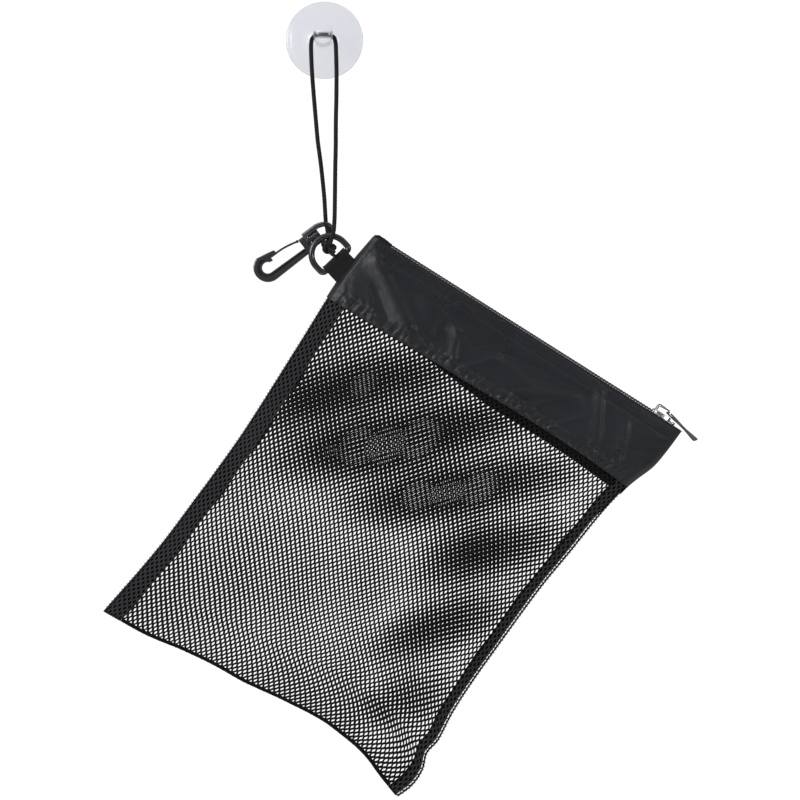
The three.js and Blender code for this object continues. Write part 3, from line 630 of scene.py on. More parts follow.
# %% Suction cup
cup_finish = new_finish("clear_pvc", (0.77, 0.785, 0.83), 0.1, IOR=1.47, Transmission_Weight=0.92)
roughness_by(cup_finish, noise(cup_finish, 60, 4), 0.1, 0.3)
tones(cup_finish, noise(cup_finish, 28, 3), (0.72, 0.75, 0.83), (0.82, 0.81, 0.84))
relief(cup_finish, noise(cup_finish, 170, 5), 0.0002)
foot = [
    (0.0, 0.01), (0.0, 11), (0.35, 14), (0.8, 22.5), (0.0, 24.9), (0.0, 27.2), (0.35, 27.5),
    (0.95, 27.45), (1.5, 25.2), (3.3, 15.2), (4.3, 11.0), (5.8, 7.4), (8.5, 5.7), (12.2, 5.6),
    (13.4, 6.6), (14.2, 7.1),
]
knob_radius = 7.15
rise = np.linspace(0, QUARTER, 16)
dome = together(23.4 + 4.4 * np.sin(rise), np.maximum(knob_radius * np.cos(rise), 0.01))
cup_profile = np.concatenate([rounded(foot, 0.35), [(18.0, knob_radius)], dome])
cup_body = bare_object("cup_body", loft(turned(cup_profile, 128, "y")))
print("cup profile has", len(cup_profile), "points")

# %% [markdown]
# The hole for the cord is cut crosswise through the knob with a Boolean. Its cutter flares like a
# trumpet at both ends, because a moulder never leaves a sharp edge where a cord must bend.

# %% The cord's hole
hole_radius, flare = 1.8, 3.2
run = np.linspace(0, flare * 0.999, 14)
mouth = together(3.5 + run, hole_radius + flare - np.sqrt(flare**2 - run**2))
mouth = np.concatenate([mouth, [(9.2, hole_radius + flare)]])
cutter_profile = np.concatenate([(mouth * [-1, 1])[::-1], mouth])
cutter = bare_object("hole_cutter", loft(turned(cutter_profile, 48, "x") + [0, -20, 0]))
cut = cup_body.modifiers.new("hole", "BOOLEAN")
cut.operation = "DIFFERENCE"
cut.solver = "EXACT"
cut.object = cutter
whole_scene = bpy.context.evaluated_depsgraph_get()
cup_mesh = bpy.data.meshes.new_from_object(cup_body.evaluated_get(whole_scene))
for spare in (cup_body, cutter):
    bpy.data.objects.remove(spare)
cup_mesh.polygons.foreach_set("use_smooth", np.ones(len(cup_mesh.polygons), bool))
cup_mesh.set_sharp_from_angle(angle=math.radians(38))
cup_mesh.materials.clear()
cup_mesh.materials.append(cup_finish)
cup = new_object("cup", cup_mesh)
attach(cup, "cup")
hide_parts("suction_cup")
print("cup", len(cup_mesh.polygons), "faces")

# %% [markdown]
# The D-ring is moulded from glossy plastic: a half circle, two short legs and a straight bar, all
# one round bar. A torus primitive could not have corners, so a circle is carried along the ring's
# own line, a loop without ends.

# %% D-ring
ring_finish = new_finish(
    "ring_plastic", (0.016, 0.017, 0.02), 0.3, Coat_Weight=0.55, Coat_Roughness=0.12)
roughness_by(ring_finish, noise(ring_finish, 500, 4), 0.2, 0.42)
relief(ring_finish, noise(ring_finish, 1500), 0.00004)
ring_middle = (4.58, -20.0, -153.45)
ring_tilt = math.radians(46.6)


def arc(x, z, radius, start, end, steps):
    """Points of an arc in the XZ plane from one angle to the other, in radians."""
    turn = np.linspace(start, end, steps)
    return together(x + radius * np.cos(turn), 0.0, z + radius * np.sin(turn))


def straight(start, end, steps):
    """Even steps between two points, the ends left out."""
    share = np.linspace(0, 1, steps + 2)[1:-1, None]
    return np.asarray(start, float) * (1 - share) + np.asarray(end, float) * share


ring_line = np.concatenate([
    arc(0, 0, 12.9, QUARTER, 3 * QUARTER, 64), straight((0, 0, -12.9), (3.8, 0, -12.9), 5),
    arc(3.8, -10.3, 2.6, -QUARTER, 0, 10), straight((6.4, 0, -10.3), (6.4, 0, 10.3), 20),
    arc(3.8, 10.3, 2.6, 0, QUARTER, 10), straight((3.8, 0, 12.9), (0, 0, 12.9), 5),
])
ring_rings = placed(sweep(ring_line, circle(2.2, 28), closed=True), ring_middle, ring_tilt)
add_piece("ring", loft(ring_rings, closed=True), ring_finish, "ring", ["d_ring"])

# %% [markdown]
# Webbing is a thick narrow weave. The tab is one strap folded round the ring's bar, with both ends
# sewn into the bag's corner. Its line is worked out once, seen from the side, and carried across
# its width. Fine ribs along and across make the weave, and the selvedges are thinner than the
# middle. Its colour follows the ribs and is darker in the grooves between them: painted shade.

# %% Webbing tab
webbing_finish = new_finish(
    "webbing_weave", (0.012, 0.012, 0.013), 0.85, Specular_IOR_Level=0.25, Sheen_Weight=0.15)
along_mm, across_mm = uv_axes(webbing_finish)
ribs = calc(webbing_finish, "POWER", wave(webbing_finish, along_mm, 1.5), 0.6)
picks = calc(webbing_finish, "MULTIPLY_ADD", wave(webbing_finish, across_mm, 0.8), 0.7, 0.3)
weave = calc(webbing_finish, "MULTIPLY", ribs, picks)
# Painted shade: the colour is darker in the grooves of the weave, lighter on its ribs.
tones(webbing_finish, weave, (0.001, 0.001, 0.0015), (0.022, 0.023, 0.026))
relief(webbing_finish, weave, 0.0005)
bar_x, strap_half, rib_pitch = 6.4, 10.0, 1.1


def webbing_line(radius, layer):
    """The strap's line seen from its side: in along one layer, half a circle round the bar, back
    along the other."""
    inward = together(np.linspace(23.8, 12.4, 16), layer)
    ease = np.linspace(0, 1, 9)[1:-1]
    lead = together(12.4 - 6 * ease, layer + (radius - layer) * (3 * ease**2 - 2 * ease**3))
    turn = np.linspace(QUARTER, 3 * QUARTER, 19)
    bow = together(bar_x + radius * np.cos(turn), radius * np.sin(turn))
    return np.concatenate([inward, lead, bow, (lead * [1, -1])[::-1], (inward * [1, -1])[::-1]])


def strap_layer(radius, layer, push):
    """The strap's line at each place across its width, pushed in or out by the ribs and the thin
    selvedges."""
    line = webbing_line(radius, layer)
    way = np.gradient(line, axis=0)
    square = together(way[:, 1], -way[:, 0]) / np.linalg.norm(way, axis=1, keepdims=True)
    half_width = strap_half + 0.25 * np.clip((line[:, 0] - bar_x) / 17.4, 0, 1)
    selvedge = 0.32 * np.abs(across) ** 12
    rib_swell = 0.05 * np.cos(across * strap_half * 2 * math.pi / rib_pitch)
    side = line[:, None] + square[:, None] * (push * (selvedge - rib_swell))[None, :, None]
    return together(side[..., 0], side[..., 1], half_width[:, None] * across[None])


across = np.linspace(-1, 1, 41)
strap_outer, strap_inner = strap_layer(3.4, 2.2, 1.0), strap_layer(2.55, 1.35, -1.0)
strap_uv = together(
    walked(strap_outer[:, 20])[:, None] + CLOTH_UV, across[None] * strap_half + 20)
strap = slab(*(placed(s, ring_middle, ring_tilt) for s in (strap_outer, strap_inner)), strap_uv)
add_piece("tab", strap, webbing_finish, "bag", ["webbing_tab"])

# %% [markdown]
# Flat mouldings have an outline but not one section, so nothing can be carried along a line. Each
# bar is a grid between two lines instead: one way follows the outline, the other crosses it, and
# the depth follows a rounded section. The hook is drawn level, along X, and leaned at the end.

# %% Flat bars between two lines
hook_origin = (-13.85, -13.8, -145.78)
hook_tilt = math.radians(-37.5)


def bar_between(outer, inner, depth, lanes, groove):
    """A bar between an outer and an inner line of equal count. Across it, from -1 to 1, half the
    depth is less by a fifth of the eighth power, which rounds the edges, and by the groove times a
    bell curve nearer the inner line."""
    w = np.linspace(-1, 1, lanes)
    share = (w[None, :, None] + 1) / 2
    flat = outer[:, None] * (1 - share) + inner[:, None] * share
    bell = np.exp(-(((w - 0.3) / 0.3) ** 6))
    half = depth / 2 * (1 - 0.2 * np.abs(w) ** 8) - groove * bell
    front = together(flat[..., 0], -half, flat[..., 1])
    return slab(front, front * [1, -1, 1], flat)


def line_2d(points, steps):
    """A broken line through (across, up) points, with that many even steps in each stretch."""
    points = np.asarray(points, float)
    share = np.linspace(0, 1, steps, endpoint=False)[:, None]
    stretches = [a + (b - a) * share for a, b in zip(points[:-1], points[1:])]
    return np.concatenate(stretches + [points[-1:]])


def bend_arc(radius, end):
    """The hook's bend: an arc round its middle, from straight down to the given angle."""
    turn = np.linspace(-QUARTER, end * math.pi, 40)
    return together(-30.3 + radius * np.cos(turn), 2.3 + radius * np.sin(turn))


def lean_hook(part, roll=0.0):
    """The part set in the hook's place: rolled about its own axis, then leaned."""
    rolled = part["points"] @ turn_about("x", roll)
    return {**part, "points": placed(rolled, hook_origin, hook_tilt)}


print("the hook leans by", round(math.degrees(hook_tilt), 1), "degrees")

# %% [markdown]
# The snap hook is one moulding: a flat bar that runs down its spine and round its bend, with a
# shallow groove between two raised rims so that it is stiff and light, then a nose with a slot for
# the gate. The post and its ribbed barrel, on which the bail turns, are a turned shape.

# %% Snap hook
hook_finish = new_finish(
    "hook_plastic", (0.03, 0.031, 0.036), 0.3, Coat_Weight=0.55, Coat_Roughness=0.12)
roughness_by(hook_finish, noise(hook_finish, 450, 4), 0.2, 0.34)
relief(hook_finish, noise(hook_finish, 1600), 0.00004)
outer_bend, inner_bend = bend_arc(10.1, -1.45), bend_arc(4.1, -1.75)
spine_outer = line_2d([(0.2, -7.4), (-30.3, -7.8)], 24)[:-1]
spine_inner = line_2d([(0.2, -2.7), (-30.3, -1.8)], 24)[:-1]
hook_bars = {
    "spine": (np.concatenate([spine_outer, outer_bend]),
              np.concatenate([spine_inner, inner_bend]), 4.4, 31, 1.5),
    "nose": (line_2d([outer_bend[-2], (-24.6, 10.65), (-19.3, 9.4)], 8),
             line_2d([(-28.2, 6.2), (-24.6, 6.2), (-19.3, 7.7)], 8), 4.2, 9, 0.0),
    "lip": (line_2d([(-28.4, 8.4), (-26.0, 7.2), (-24.3, 6.0)], 6),
            line_2d([(-27.6, 5.0), (-26.4, 4.5), (-24.3, 4.2)], 6), 4.2, 7, 0.0),
    "neck": (line_2d([(-1.6, -7.4), (2.42, -7.4)], 5),
             line_2d([(-1.6, 4.6), (2.42, 4.6)], 5), 4.4, 15, 0.0),
}
post, ribs_from = 1.9, np.linspace(5.1, 13.2, 6)
barrel = [(0.3, 0.02), (0.3, post), (5.1, post)]
for i, (low, high) in enumerate(zip(ribs_from[:-1], ribs_from[1:])):
    size = 3.3 - 0.2 * (i / 4) ** 2
    rib = [(0.02, size - 0.45), (0.3, size - 0.12), (0.6, size)]
    barrel += [(low + x, radius) for x, radius in rib] + [(high - x, r) for x, r in rib[::-1]]
barrel += [(13.2, post), (13.2, 0.02)]
hook_shells = [bar_between(*bar) for bar in hook_bars.values()] + [loft(turned(barrel, 40, "x"))]
hook_parts = [lean_hook(p) for p in hook_shells]
add_piece("hook", hook_parts, hook_finish, "hook", ["hook_body"], bevel=0.2)

# %% [markdown]
# The gate is a thin springy tongue. It leaves the neck as a round root, bows outwards a little and
# rests its tip in the nose's slot. A small rounded section is carried along its bowed line.

# %% Gate


def powered(value, power):
    """The value's size raised to a power, with its sign kept. On sine and cosine, a power under 1
    makes a circle squarer."""
    return np.sign(value) * np.abs(value) ** power


share = np.linspace(0, 1, 36)
gate_line = together(
    -2.7 - 20.5 * share, 0.0, 4.3 + 2.6 * share + 0.9 * np.sin(math.pi * share))
turn = round_turn(24)
gate_section = together(0.7 * powered(np.sin(turn), 0.5), 1.7 * powered(np.cos(turn), 0.5))
root_line = [(-2.7, y, 4.3) for y in (-1.7, -1.2, 1.2, 1.7)]
gate_rings = [sweep(gate_line, gate_section), sweep(root_line, circle(1.0, 24), out=(1, 0, 0))]
gate_parts = [lean_hook(loft(rings)) for rings in gate_rings]
add_piece("gate", gate_parts, hook_finish, "gate", ["hook_gate"])

# %% [markdown]
# The bail is a strap bent into an arch, with a collar that turns on the post. Its outer and inner
# lines are loops of equal count, so a ring of squares lies between them, and giving it a depth
# makes the strap. The strap is deepest at its base and narrows towards the arch.

# %% Bail
arch_foot, bail_roll = 14, math.radians(25)


def bail_loop(start, inset):
    """Half an ellipse over two straight legs and a base. The ellipse leans aside, by 1.2 mm at its
    tip."""
    turn = np.linspace(-QUARTER, QUARTER, 36)
    side, reach = 6.4 - inset, 23.8 - inset - arch_foot
    arch = together(
        arch_foot + reach * np.cos(turn), side * np.sin(turn) - 1.2 * np.cos(turn))
    base = line_2d([(start, side), (start, -side)], 8)
    lower = line_2d([(start, -side), (arch_foot, -side)], 10)[1:-1]
    upper = line_2d([(arch_foot, side), (start, side)], 10)[1:-1]
    return np.concatenate([base, lower, arch, upper])


outer_loop, inner_loop = bail_loop(2.46, 0), bail_loop(4.8, 3.0)
w = np.linspace(0, 1, 7)[:, None, None]
band = outer_loop * (1 - w) + inner_loop * w
base_share = np.clip((17 - outer_loop[:, 0]) / 12, 0, 1)
strap_depth = 1.8 + 0.5 * base_share**2 * (3 - 2 * base_share)
strap_depth = strap_depth * (1 - 0.1 * np.abs(2 * w[..., 0] - 1) ** 6)
front = together(band[..., 0], -strap_depth, band[..., 1])
collar_ring = [(2.6, 2.2), (2.6, 3.0), (2.85, 3.3), (4.55, 3.3), (4.8, 3.0), (4.8, 2.2)]
collar = loft(turned(collar_ring, 32, "x").transpose(1, 0, 2), closed=True)
bail_shells = [slab(front, front * [1, -1, 1], band, close_columns=True), collar]
bail_parts = [lean_hook(p, bail_roll) for p in bail_shells]
add_piece("bail", bail_parts, hook_finish, "bail", ["hook_bail"], bevel=0.14)

# %% [markdown]
# The bag hangs by one corner, and its sides curve in where the net is slack. The outline was
# measured from the photograph as shares of the bag's width and height. Shares are handier than
# millimetres, because every panel can then be drawn as if it were square.

# %% The bag's outline
SIDES = ((-1, "front"), (1, "back"))
bag_origin = (34.77, -20.0, -140.6)
bag_tilt = math.radians(32.3)
bag_width, bag_height, header_depth = 255.0, 323.0, 53.5
edge_depth, belly_depth = 2.2, 14.5
left_edge = [
    (0, 0.004), (0.065, -0.008), (0.13, -0.015), (0.28, -0.014), (0.5, -0.014), (0.6, -0.02),
    (0.7, -0.029), (0.8, -0.039), (0.88, -0.052), (0.94, -0.064), (1, -0.076),
]
right_edge = [
    (0, 0.999), (0.06, 0.993), (0.1, 0.985), (0.14, 0.966), (0.17, 0.954), (0.24, 0.937),
    (0.35, 0.921), (0.45, 0.905), (0.6, 0.892), (0.7, 0.885), (0.78, 0.884), (0.85, 0.891),
    (0.885, 0.884), (0.92, 0.898), (0.96, 0.897), (1, 0.879),
]
bottom_edge = [
    (0, 1), (0.14, 0.994), (0.25, 0.98), (0.35, 0.971), (0.45, 0.967), (0.56, 0.956),
    (0.69, 0.947), (0.76, 0.95), (0.83, 0.957), (0.87, 0.965), (0.91, 0.977), (0.95, 0.988), (1, 1),
]
print("the outline has", len(left_edge) + len(right_edge) + len(bottom_edge), "measured places")

# %% [markdown]
# The bag is two panels sewn together, and every part of it follows the same curved surface. A
# smooth line runs through the measured shares. The depth is thin at the seams and the zip and
# fullest in the net. One function therefore places every cloth piece.

# %% The bag's surface


def share_at(table, place):
    """A cubic through a table of places and values. At each row its slope is that of the chord
    between the rows on either side of it."""
    places, values = np.asarray(table, float).T
    place = np.asarray(place, float)
    i = np.searchsorted(places[1:-1], place, side="left")
    before, after = np.maximum(i - 1, 0), np.minimum(i + 2, len(places) - 1)
    step = places[i + 1] - places[i]
    leave = (values[i + 1] - values[before]) / (places[i + 1] - places[before]) * step
    reach = (values[after] - values[i]) / (places[after] - places[i]) * step
    x = np.clip((place - places[i]) / step, 0, 1)
    return cubic(x, values[i], leave, values[i + 1], reach)


def smooth_step(low, high, value):
    """0 under low, 1 over high, and 3 x squared less 2 x cubed between."""
    x = np.clip((np.asarray(value, float) - low) / (high - low), 0, 1)
    return x * x * (3 - 2 * x)


def half_depth(across, down):
    """Half the bag's depth: 2.2 mm at the edges, more by a plateau across times a belly down. The
    plateau is 1 less a high power of the distance from the middle, and the belly a sine."""
    stiff = 1 - smooth_step(0, 2 * header_depth / bag_height, down)
    plateau = 1 - np.abs(2 * across - 1) ** (2.6 + (24 - 2.6) * stiff**2)
    belly = belly_depth * np.sin(math.pi * down**1.15)
    return edge_depth + plateau * (0.7 * (1 - down) + belly)


def on_bag(points):
    """Points of the bag's own frame, with X along the zip and Z up, set in its place."""
    return placed(points, bag_origin, bag_tilt)


def bag_points(across, down, side=0.0, inward=0.0):
    """Places for shares across and down. The side is -1 for the front, 1 for the back and 0 for the
    plane between them, and inward is the depth under the outer face in millimetres."""
    across, down = np.broadcast_arrays(np.asarray(across, float), down)
    inside = np.clip(across, 0, 1)
    left, right = share_at(left_edge, down), share_at(right_edge, down)
    x = bag_width * (left + (right - left) * across)
    y = side * (half_depth(inside, down) - inward)
    z = -down * bag_height * share_at(bottom_edge, inside)
    return on_bag(together(x, y, z))


print("the bag is", round(2 * float(half_depth(0.5, 0.55)), 1), "mm deep in the middle")

# %% [markdown]
# The net is a fine knitted yarn, dark and without gloss. Where it is doubled, along the seams, it
# looks lighter, because more yarn there catches the light. A strip along both sides therefore gets
# a lighter tone, painted highlight read from the UV map, which counts millimetres across the bag.

# %% Net finish
net_finish = new_finish("net_yarn", (0.005, 0.005, 0.006), 0.75, Specular_IOR_Level=0.12)
net_x, _ = uv_axes(net_finish)
# Painted highlight: the yarn is lighter within 16 mm of the left edge and past 248 mm, where the net
# is doubled; the fluff is random tone.
on_left = calc(net_finish, "LESS_THAN", net_x, 16)
on_right = calc(net_finish, "GREATER_THAN", net_x, 248)
lit_border_mask = calc(net_finish, "MAXIMUM", on_left, on_right)
fluff = calc(net_finish, "MULTIPLY", noise(net_finish, 1400, 4), 0.15)
yarn = calc(net_finish, "MULTIPLY_ADD", lit_border_mask, 0.34, fluff)
tones(net_finish, yarn, (0.001, 0.001, 0.001), (0.075, 0.076, 0.083))
relief(net_finish, noise(net_finish, 4000), 0.00012)
print("finish", net_finish.name)

# %% [markdown]
# The net is a warp knit with a hole about every 4 mm, in staggered rows 2.4 mm apart. A picture of
# holes on a flat sheet would lie flat and make no true moire where front and back cross. So each
# hole is real: the cloth is divided into diamonds that share corners, each diamond holds a smaller
# one, and the four strips between them are the yarns.

# %% Net layer
net_columns, net_rows = 60, 112
net_top = (header_depth - 9) / bag_height
net_slack = 2 / 1350
slack_middle = np.array([53.6, 0, -255.4])


def net_layer(side):
    """Corners at half steps of staggered rows, and in each diamond four hole corners at a share of
    the way from its middle. The holes' sizes vary by slow waves."""
    row = np.arange(-1, net_rows + 1)[:, None]
    column = np.arange(net_columns + 1)[None, :]
    corner_xz = together(column - 0.5 + 0.5 * (row % 2), row).reshape(-1, 2)
    j, i = np.mgrid[0:net_rows, 0:net_columns]
    middle = together(i + 0.5 * (j % 2), j)
    wide = 0.46 + 0.05 * np.sin(i * 0.23 + 1.3 * side) * np.sin(j * 0.17)
    tall = 0.78 + 0.05 * np.sin(i * 0.13 + j * 0.11)
    reach = np.stack([
        together(-0.5 * wide, 0), together(0, -tall), together(0.5 * wide, 0), together(0, tall),
    ], -2)
    hole_xz = (middle[:, :, None] + reach).reshape(-1, 2)
    number = lambda r, c: (r + 1) * (net_columns + 1) + c
    stagger = i + j % 2
    corners = together(
        number(j, i), number(j - 1, stagger), number(j, i + 1), number(j + 1, stagger))
    holes = len(corner_xz) + 4 * (j * net_columns + i)[..., None] + np.arange(4)
    faces = together(corners, np.roll(corners, -1, -1), np.roll(holes, -1, -1), holes)
    return np.concatenate([corner_xz, hole_xz]), faces.reshape(-1, 4)


print("each net has", net_columns * net_rows, "holes")

# %% [markdown]
# The flat layer is now spread over the bag. Giving it a thickness closes every hole's rim at once.
# Slow waves bend the rows a little, as in real net, and differ from front to back, so that the two
# layers of holes cross as they do in the photograph.

# %% Net panels


def net_panel(side):
    """The layer spread over the bag: x over the columns is the share across, the rows are spread
    from under the header's hem to the bottom. Its two faces lie 0.38 mm apart, and near the side
    seams it closes in. The two nets drift apart at the top and the right and line up at the lower
    left: there the back one is slacker by what its greater distance takes off its size."""
    flat, faces = net_layer(side)
    x, z = flat.T
    across = (x + 0.5) / (net_columns + 0.5)
    down = net_top + (1 - net_top) * (z + 1) / (net_rows + 1)
    fade = np.sin(math.pi * np.clip(across, 0, 1))
    fade = (fade * np.sin(math.pi * (down - net_top) / (1 - net_top))) ** 0.5
    aligned = smooth_step(0.38, 0.6, down) * (1 - smooth_step(0.6, 0.85, across))
    apart = side * (1 - 0.9 * aligned)
    sway = 0.004 * np.sin(9 * down + 6 * across)
    sway = sway + apart * (0.0011 * np.sin(23 * across + 29 * down + 1) + 0.0032)
    drift = 0.004 * np.sin(10 * across - 7 * down)
    drift = drift + apart * (0.0011 * np.sin(31 * across - 19 * down) + 0.0006)
    across, down = across + sway * fade, down + drift * fade
    close = 0.75 * (1 - smooth_step(0, 0.04, np.minimum(across, 1 - across)))
    layers = [bag_points(across, down, side, inward + close) for inward in (0.15, 0.53)]
    if side > 0:
        slack = (half_depth(across, down) - edge_depth)[:, None] * net_slack * [1, 0, 1]
        layers = [layer + slack * (layer - slack_middle) for layer in layers]
    used = np.unique(faces)
    renumber = np.zeros(len(flat), int)
    renumber[used] = np.arange(len(used))
    uv = together(across * bag_width, down * bag_height) + CLOTH_UV
    return thicken(layers[0][used], layers[1][used], renumber[faces], uv[used])


for side, label in SIDES:
    net = add_piece(
        f"net_{label}", net_panel(side), net_finish, "bag", [f"mesh_{label}"], crease=30)

# %% [markdown]
# Sewing leaves thousands of short threads. One could copy one stitch as an object many times, but
# the copies would have to be moved and joined. Here all the stitches of a row are worked out at
# once, as one table with an extra axis for the stitch.

# %% Stitches


def stitches(starts, ends, lift, radius=0.16, sides=5, steps=5):
    """One small tube for each pair of points, all at once: its line is straight plus the lift times
    one less the fourth power of the distance from its middle, and its radius shrinks at both
    ends."""
    share = np.linspace(0, 1, steps)
    starts, ends, lift = (np.asarray(v, float)[:, None] for v in (starts, ends, lift))
    rise = (1 - (2 * share - 1) ** 4)[None, :, None]
    line = starts * (1 - share)[None, :, None] + ends * share[None, :, None] + lift * rise
    along = (ends - starts) / np.linalg.norm(ends - starts, axis=-1, keepdims=True)
    out = lift / np.linalg.norm(lift, axis=-1, keepdims=True)
    aside = np.cross(along, out)
    turn = round_turn(sides)
    size = radius * (1 - 0.5 * np.abs(2 * share - 1) ** 3)
    ring = np.cos(turn)[:, None] * aside[:, :, None] + np.sin(turn)[:, None] * out[:, :, None]
    points = line[:, :, None] + size[None, :, None, None] * ring
    count, per = len(starts), steps * sides
    base = (np.arange(count) * per)[:, None, None]
    quads = (grid_quads(steps, sides, False, True)[None] + base).reshape(-1, 4)
    fan = together(0, np.arange(1, sides - 1), np.arange(2, sides))
    caps = np.concatenate([fan[:, ::-1], fan + per - sides])
    tris = (caps[None] + base).reshape(-1, 3)
    uv = together(turn[None, None] / 7, share[None, :, None] * np.ones((count, 1, 1)))
    return shell(points, quads, tris, uv)


thread_finish = new_finish("sewing_thread", (0.04, 0.04, 0.045), 0.5, Specular_IOR_Level=0.45)
tones(thread_finish, noise(thread_finish, 2500), (0.01, 0.01, 0.012), (0.06, 0.06, 0.068))
print("finish", thread_finish.name)

# %% [markdown]
# Where the net is folded over and over, its holes close and it reads as a dark knitted band. Its
# threads cross like those of a braid, so its finish is two leaning waves. Its colour is lighter
# only on the crests of the waves; the darkness between them is painted shade.

# %% Seam cloth
seam_finish = new_finish("seam_cloth", (0.008, 0.008, 0.009), 0.85, Specular_IOR_Level=0.2)
knit = calc(seam_finish, "MAXIMUM", *leaning_waves(seam_finish, *uv_axes(seam_finish), 0.57, 1.65))
crests = calc(seam_finish, "POWER", knit, 3.0)
# Painted shade: the colour is near black between the knit's crests and lighter only on them.
tones(seam_finish, crests, (0.002, 0.002, 0.002), (0.012, 0.012, 0.014))
relief(seam_finish, knit, 0.0004)
seam_widths, bottom_width = (14.5, 10.0), 2.6


def seam_strip(across, down, share, waves, uv):
    """A strip with a face on each side of the bag's middle plane, 0.72 mm off it and less by a high
    power of the distance from the strip's own middle, and bent by waves."""
    half = 0.72 - 0.6 * np.abs(2 * share - 1) ** 6
    middle = bag_points(across, down)
    faces = [middle + together(0, side * half + waves, 0) for side, _ in SIDES]
    return slab(*faces, uv + CLOTH_UV)


print("finish", seam_finish.name)

# %% [markdown]
# The side seams are the nets' edges folded in and stitched, so that a dark band shows through the
# front net. A seam could be a flat strip, but it is gathered by its thread. So it is a narrow grid
# with two faces, a little wavy, with overcast thread looped round its edge.

# %% Side seams


def side_seam(edge):
    """From the bag's edge inwards over a width that starts at 1.8 mm at the zip and is full under
    the tapes. The right one is gathered: it leaves 2 mm of open net at the edge and stands in fine
    pleats."""
    down, inset = np.meshgrid(np.linspace(0, 1, 900), np.linspace(0, 1, 9), indexing="ij")
    depth = down * bag_height
    full, narrow = seam_widths[edge], 1.8
    in_net = smooth_step(60, 90, depth)
    width = narrow + (full - narrow) * smooth_step(11, 11 + full / 2, depth)
    width = width + 0.5 * np.sin(down * 41) * in_net * inset
    clear = 2.0 * edge * in_net
    across = (clear + (width - clear) * inset) / bag_width
    waves = 0.16 * np.sin(down * 90 + edge) + 0.1 * np.sin(down * 233)
    waves = waves + 0.3 * edge * np.sin(down * 790)
    across = 1 - across if edge else across
    return seam_strip(across, down, inset, waves, together(inset * 10, depth))


def overcast(edge):
    """Loops of thread along a seam's edge: each runs from the front face to the back one, leaning
    down the seam. On the right, where the net is open, they are sewn over a thin rolled hem."""
    down = np.linspace(0.02, 0.985, 118)
    across = 0.996 if edge else 0.004
    starts, ends = bag_points(across, down), bag_points(across, down + 0.0045)
    away = placed([1.5 if edge else -1.5, 0, 0], (0, 0, 0), bag_tilt)
    out = np.broadcast_to(away, starts.shape)
    return stitches(starts + [0, -0.95, 0], ends + [0, 0.95, 0], out, radius=0.17)


rim = bag_points(0.998, np.linspace(0.19, 0.998, 300))
rolled_hem = loft(sweep(rim, circle(0.6, 10)))
for edge, label in enumerate(("left", "right")):
    add_piece(f"seam_{label}", side_seam(edge), seam_finish, "bag", [f"side_seam_{label}"])
    loops = [overcast(edge), rolled_hem] if edge else [overcast(edge)]
    add_piece(f"overcast_{label}", loops, seam_finish, "bag", [])

# %% [markdown]
# The bottom seam is the same strip, much narrower, from one side seam to the other.

# %% Bottom seam
along, rise = np.meshgrid(np.linspace(0, 1, 200), np.linspace(0, 1, 13), indexing="ij")
left_inset, right_inset = 0.0572, 0.0402
bottom = seam_strip(
    left_inset + (1 - left_inset - right_inset) * along, 1 - rise * bottom_width / bag_height, rise,
    0.2 * np.sin(along * 70) + 0.12 * np.sin(along * 173),
    together(rise * bottom_width, along * 230))
add_piece("seam_bottom", bottom, seam_finish, "bag", ["bottom_seam"])

# %% [markdown]
# The header is a band of thin shiny taffeta, woven so fine that its threads only show as a grain.
# Its patches of gloss come from handling, and a crinkle of small bumps breaks the reflections.

# %% Taffeta
taffeta_finish = new_finish(
    "taffeta_cloth", (0.012, 0.0125, 0.0145), 0.38, Specular_IOR_Level=0.45)
warp, weft = (wave(taffeta_finish, mm, 0.42) for mm in uv_axes(taffeta_finish))
threads = calc(taffeta_finish, "MULTIPLY", warp, weft)
patches = noise(taffeta_finish, 26, 5)
tones(taffeta_finish, patches, (0.003, 0.0036, 0.006), (0.009, 0.0105, 0.016))
roughness_by(taffeta_finish, patches, 0.24, 0.32)
crinkle = calc(taffeta_finish, "MULTIPLY_ADD", threads, 0.08, noise(taffeta_finish, 140, 6))
relief(taffeta_finish, crinkle, 0.0007)
print("finish", taffeta_finish.name)

# %% [markdown]
# Taffeta is stiff for its weight: it takes long soft folds that catch the light, and it puckers
# along each row of stitches. A cloth simulation would give folds of its own choosing, so the folds
# seen in the photograph are written down instead, each as a ridge along a line.

# %% Folds and puckers
stitch_rows = (2.0, 10.0, 45.2, 51.6)
# Each fold: from x, z to x, z, then its width and height, in millimetres
folds = [
    (1, 22, 3, 40, 2.2, 0.7), (12, 12, 59, 39.5, 5.0, 2.4), (28, 32, 42, 43, 5.0, -0.9),
    (7, 42, 12, 48, 1.6, 0.6), (26, 38, 34, 46, 1.8, 0.7), (88, 26, 98, 43, 3.0, 1.4),
    (60, 20, 150, 31, 4.2, 1.3), (128, 22, 190, 14, 5.0, -1.2), (150, 40, 178, 22, 3.6, 1.3),
    (196, 12, 214, 40, 3.8, 1.5), (224, 22, 236, 44, 3.2, 1.3), (205, 46, 246, 30, 3.8, -1.1),
    (110, 44, 118, 32, 2.4, 0.8), (160, 46, 168, 36, 2.2, 0.8), (186, 46, 192, 34, 2.2, 0.8),
]


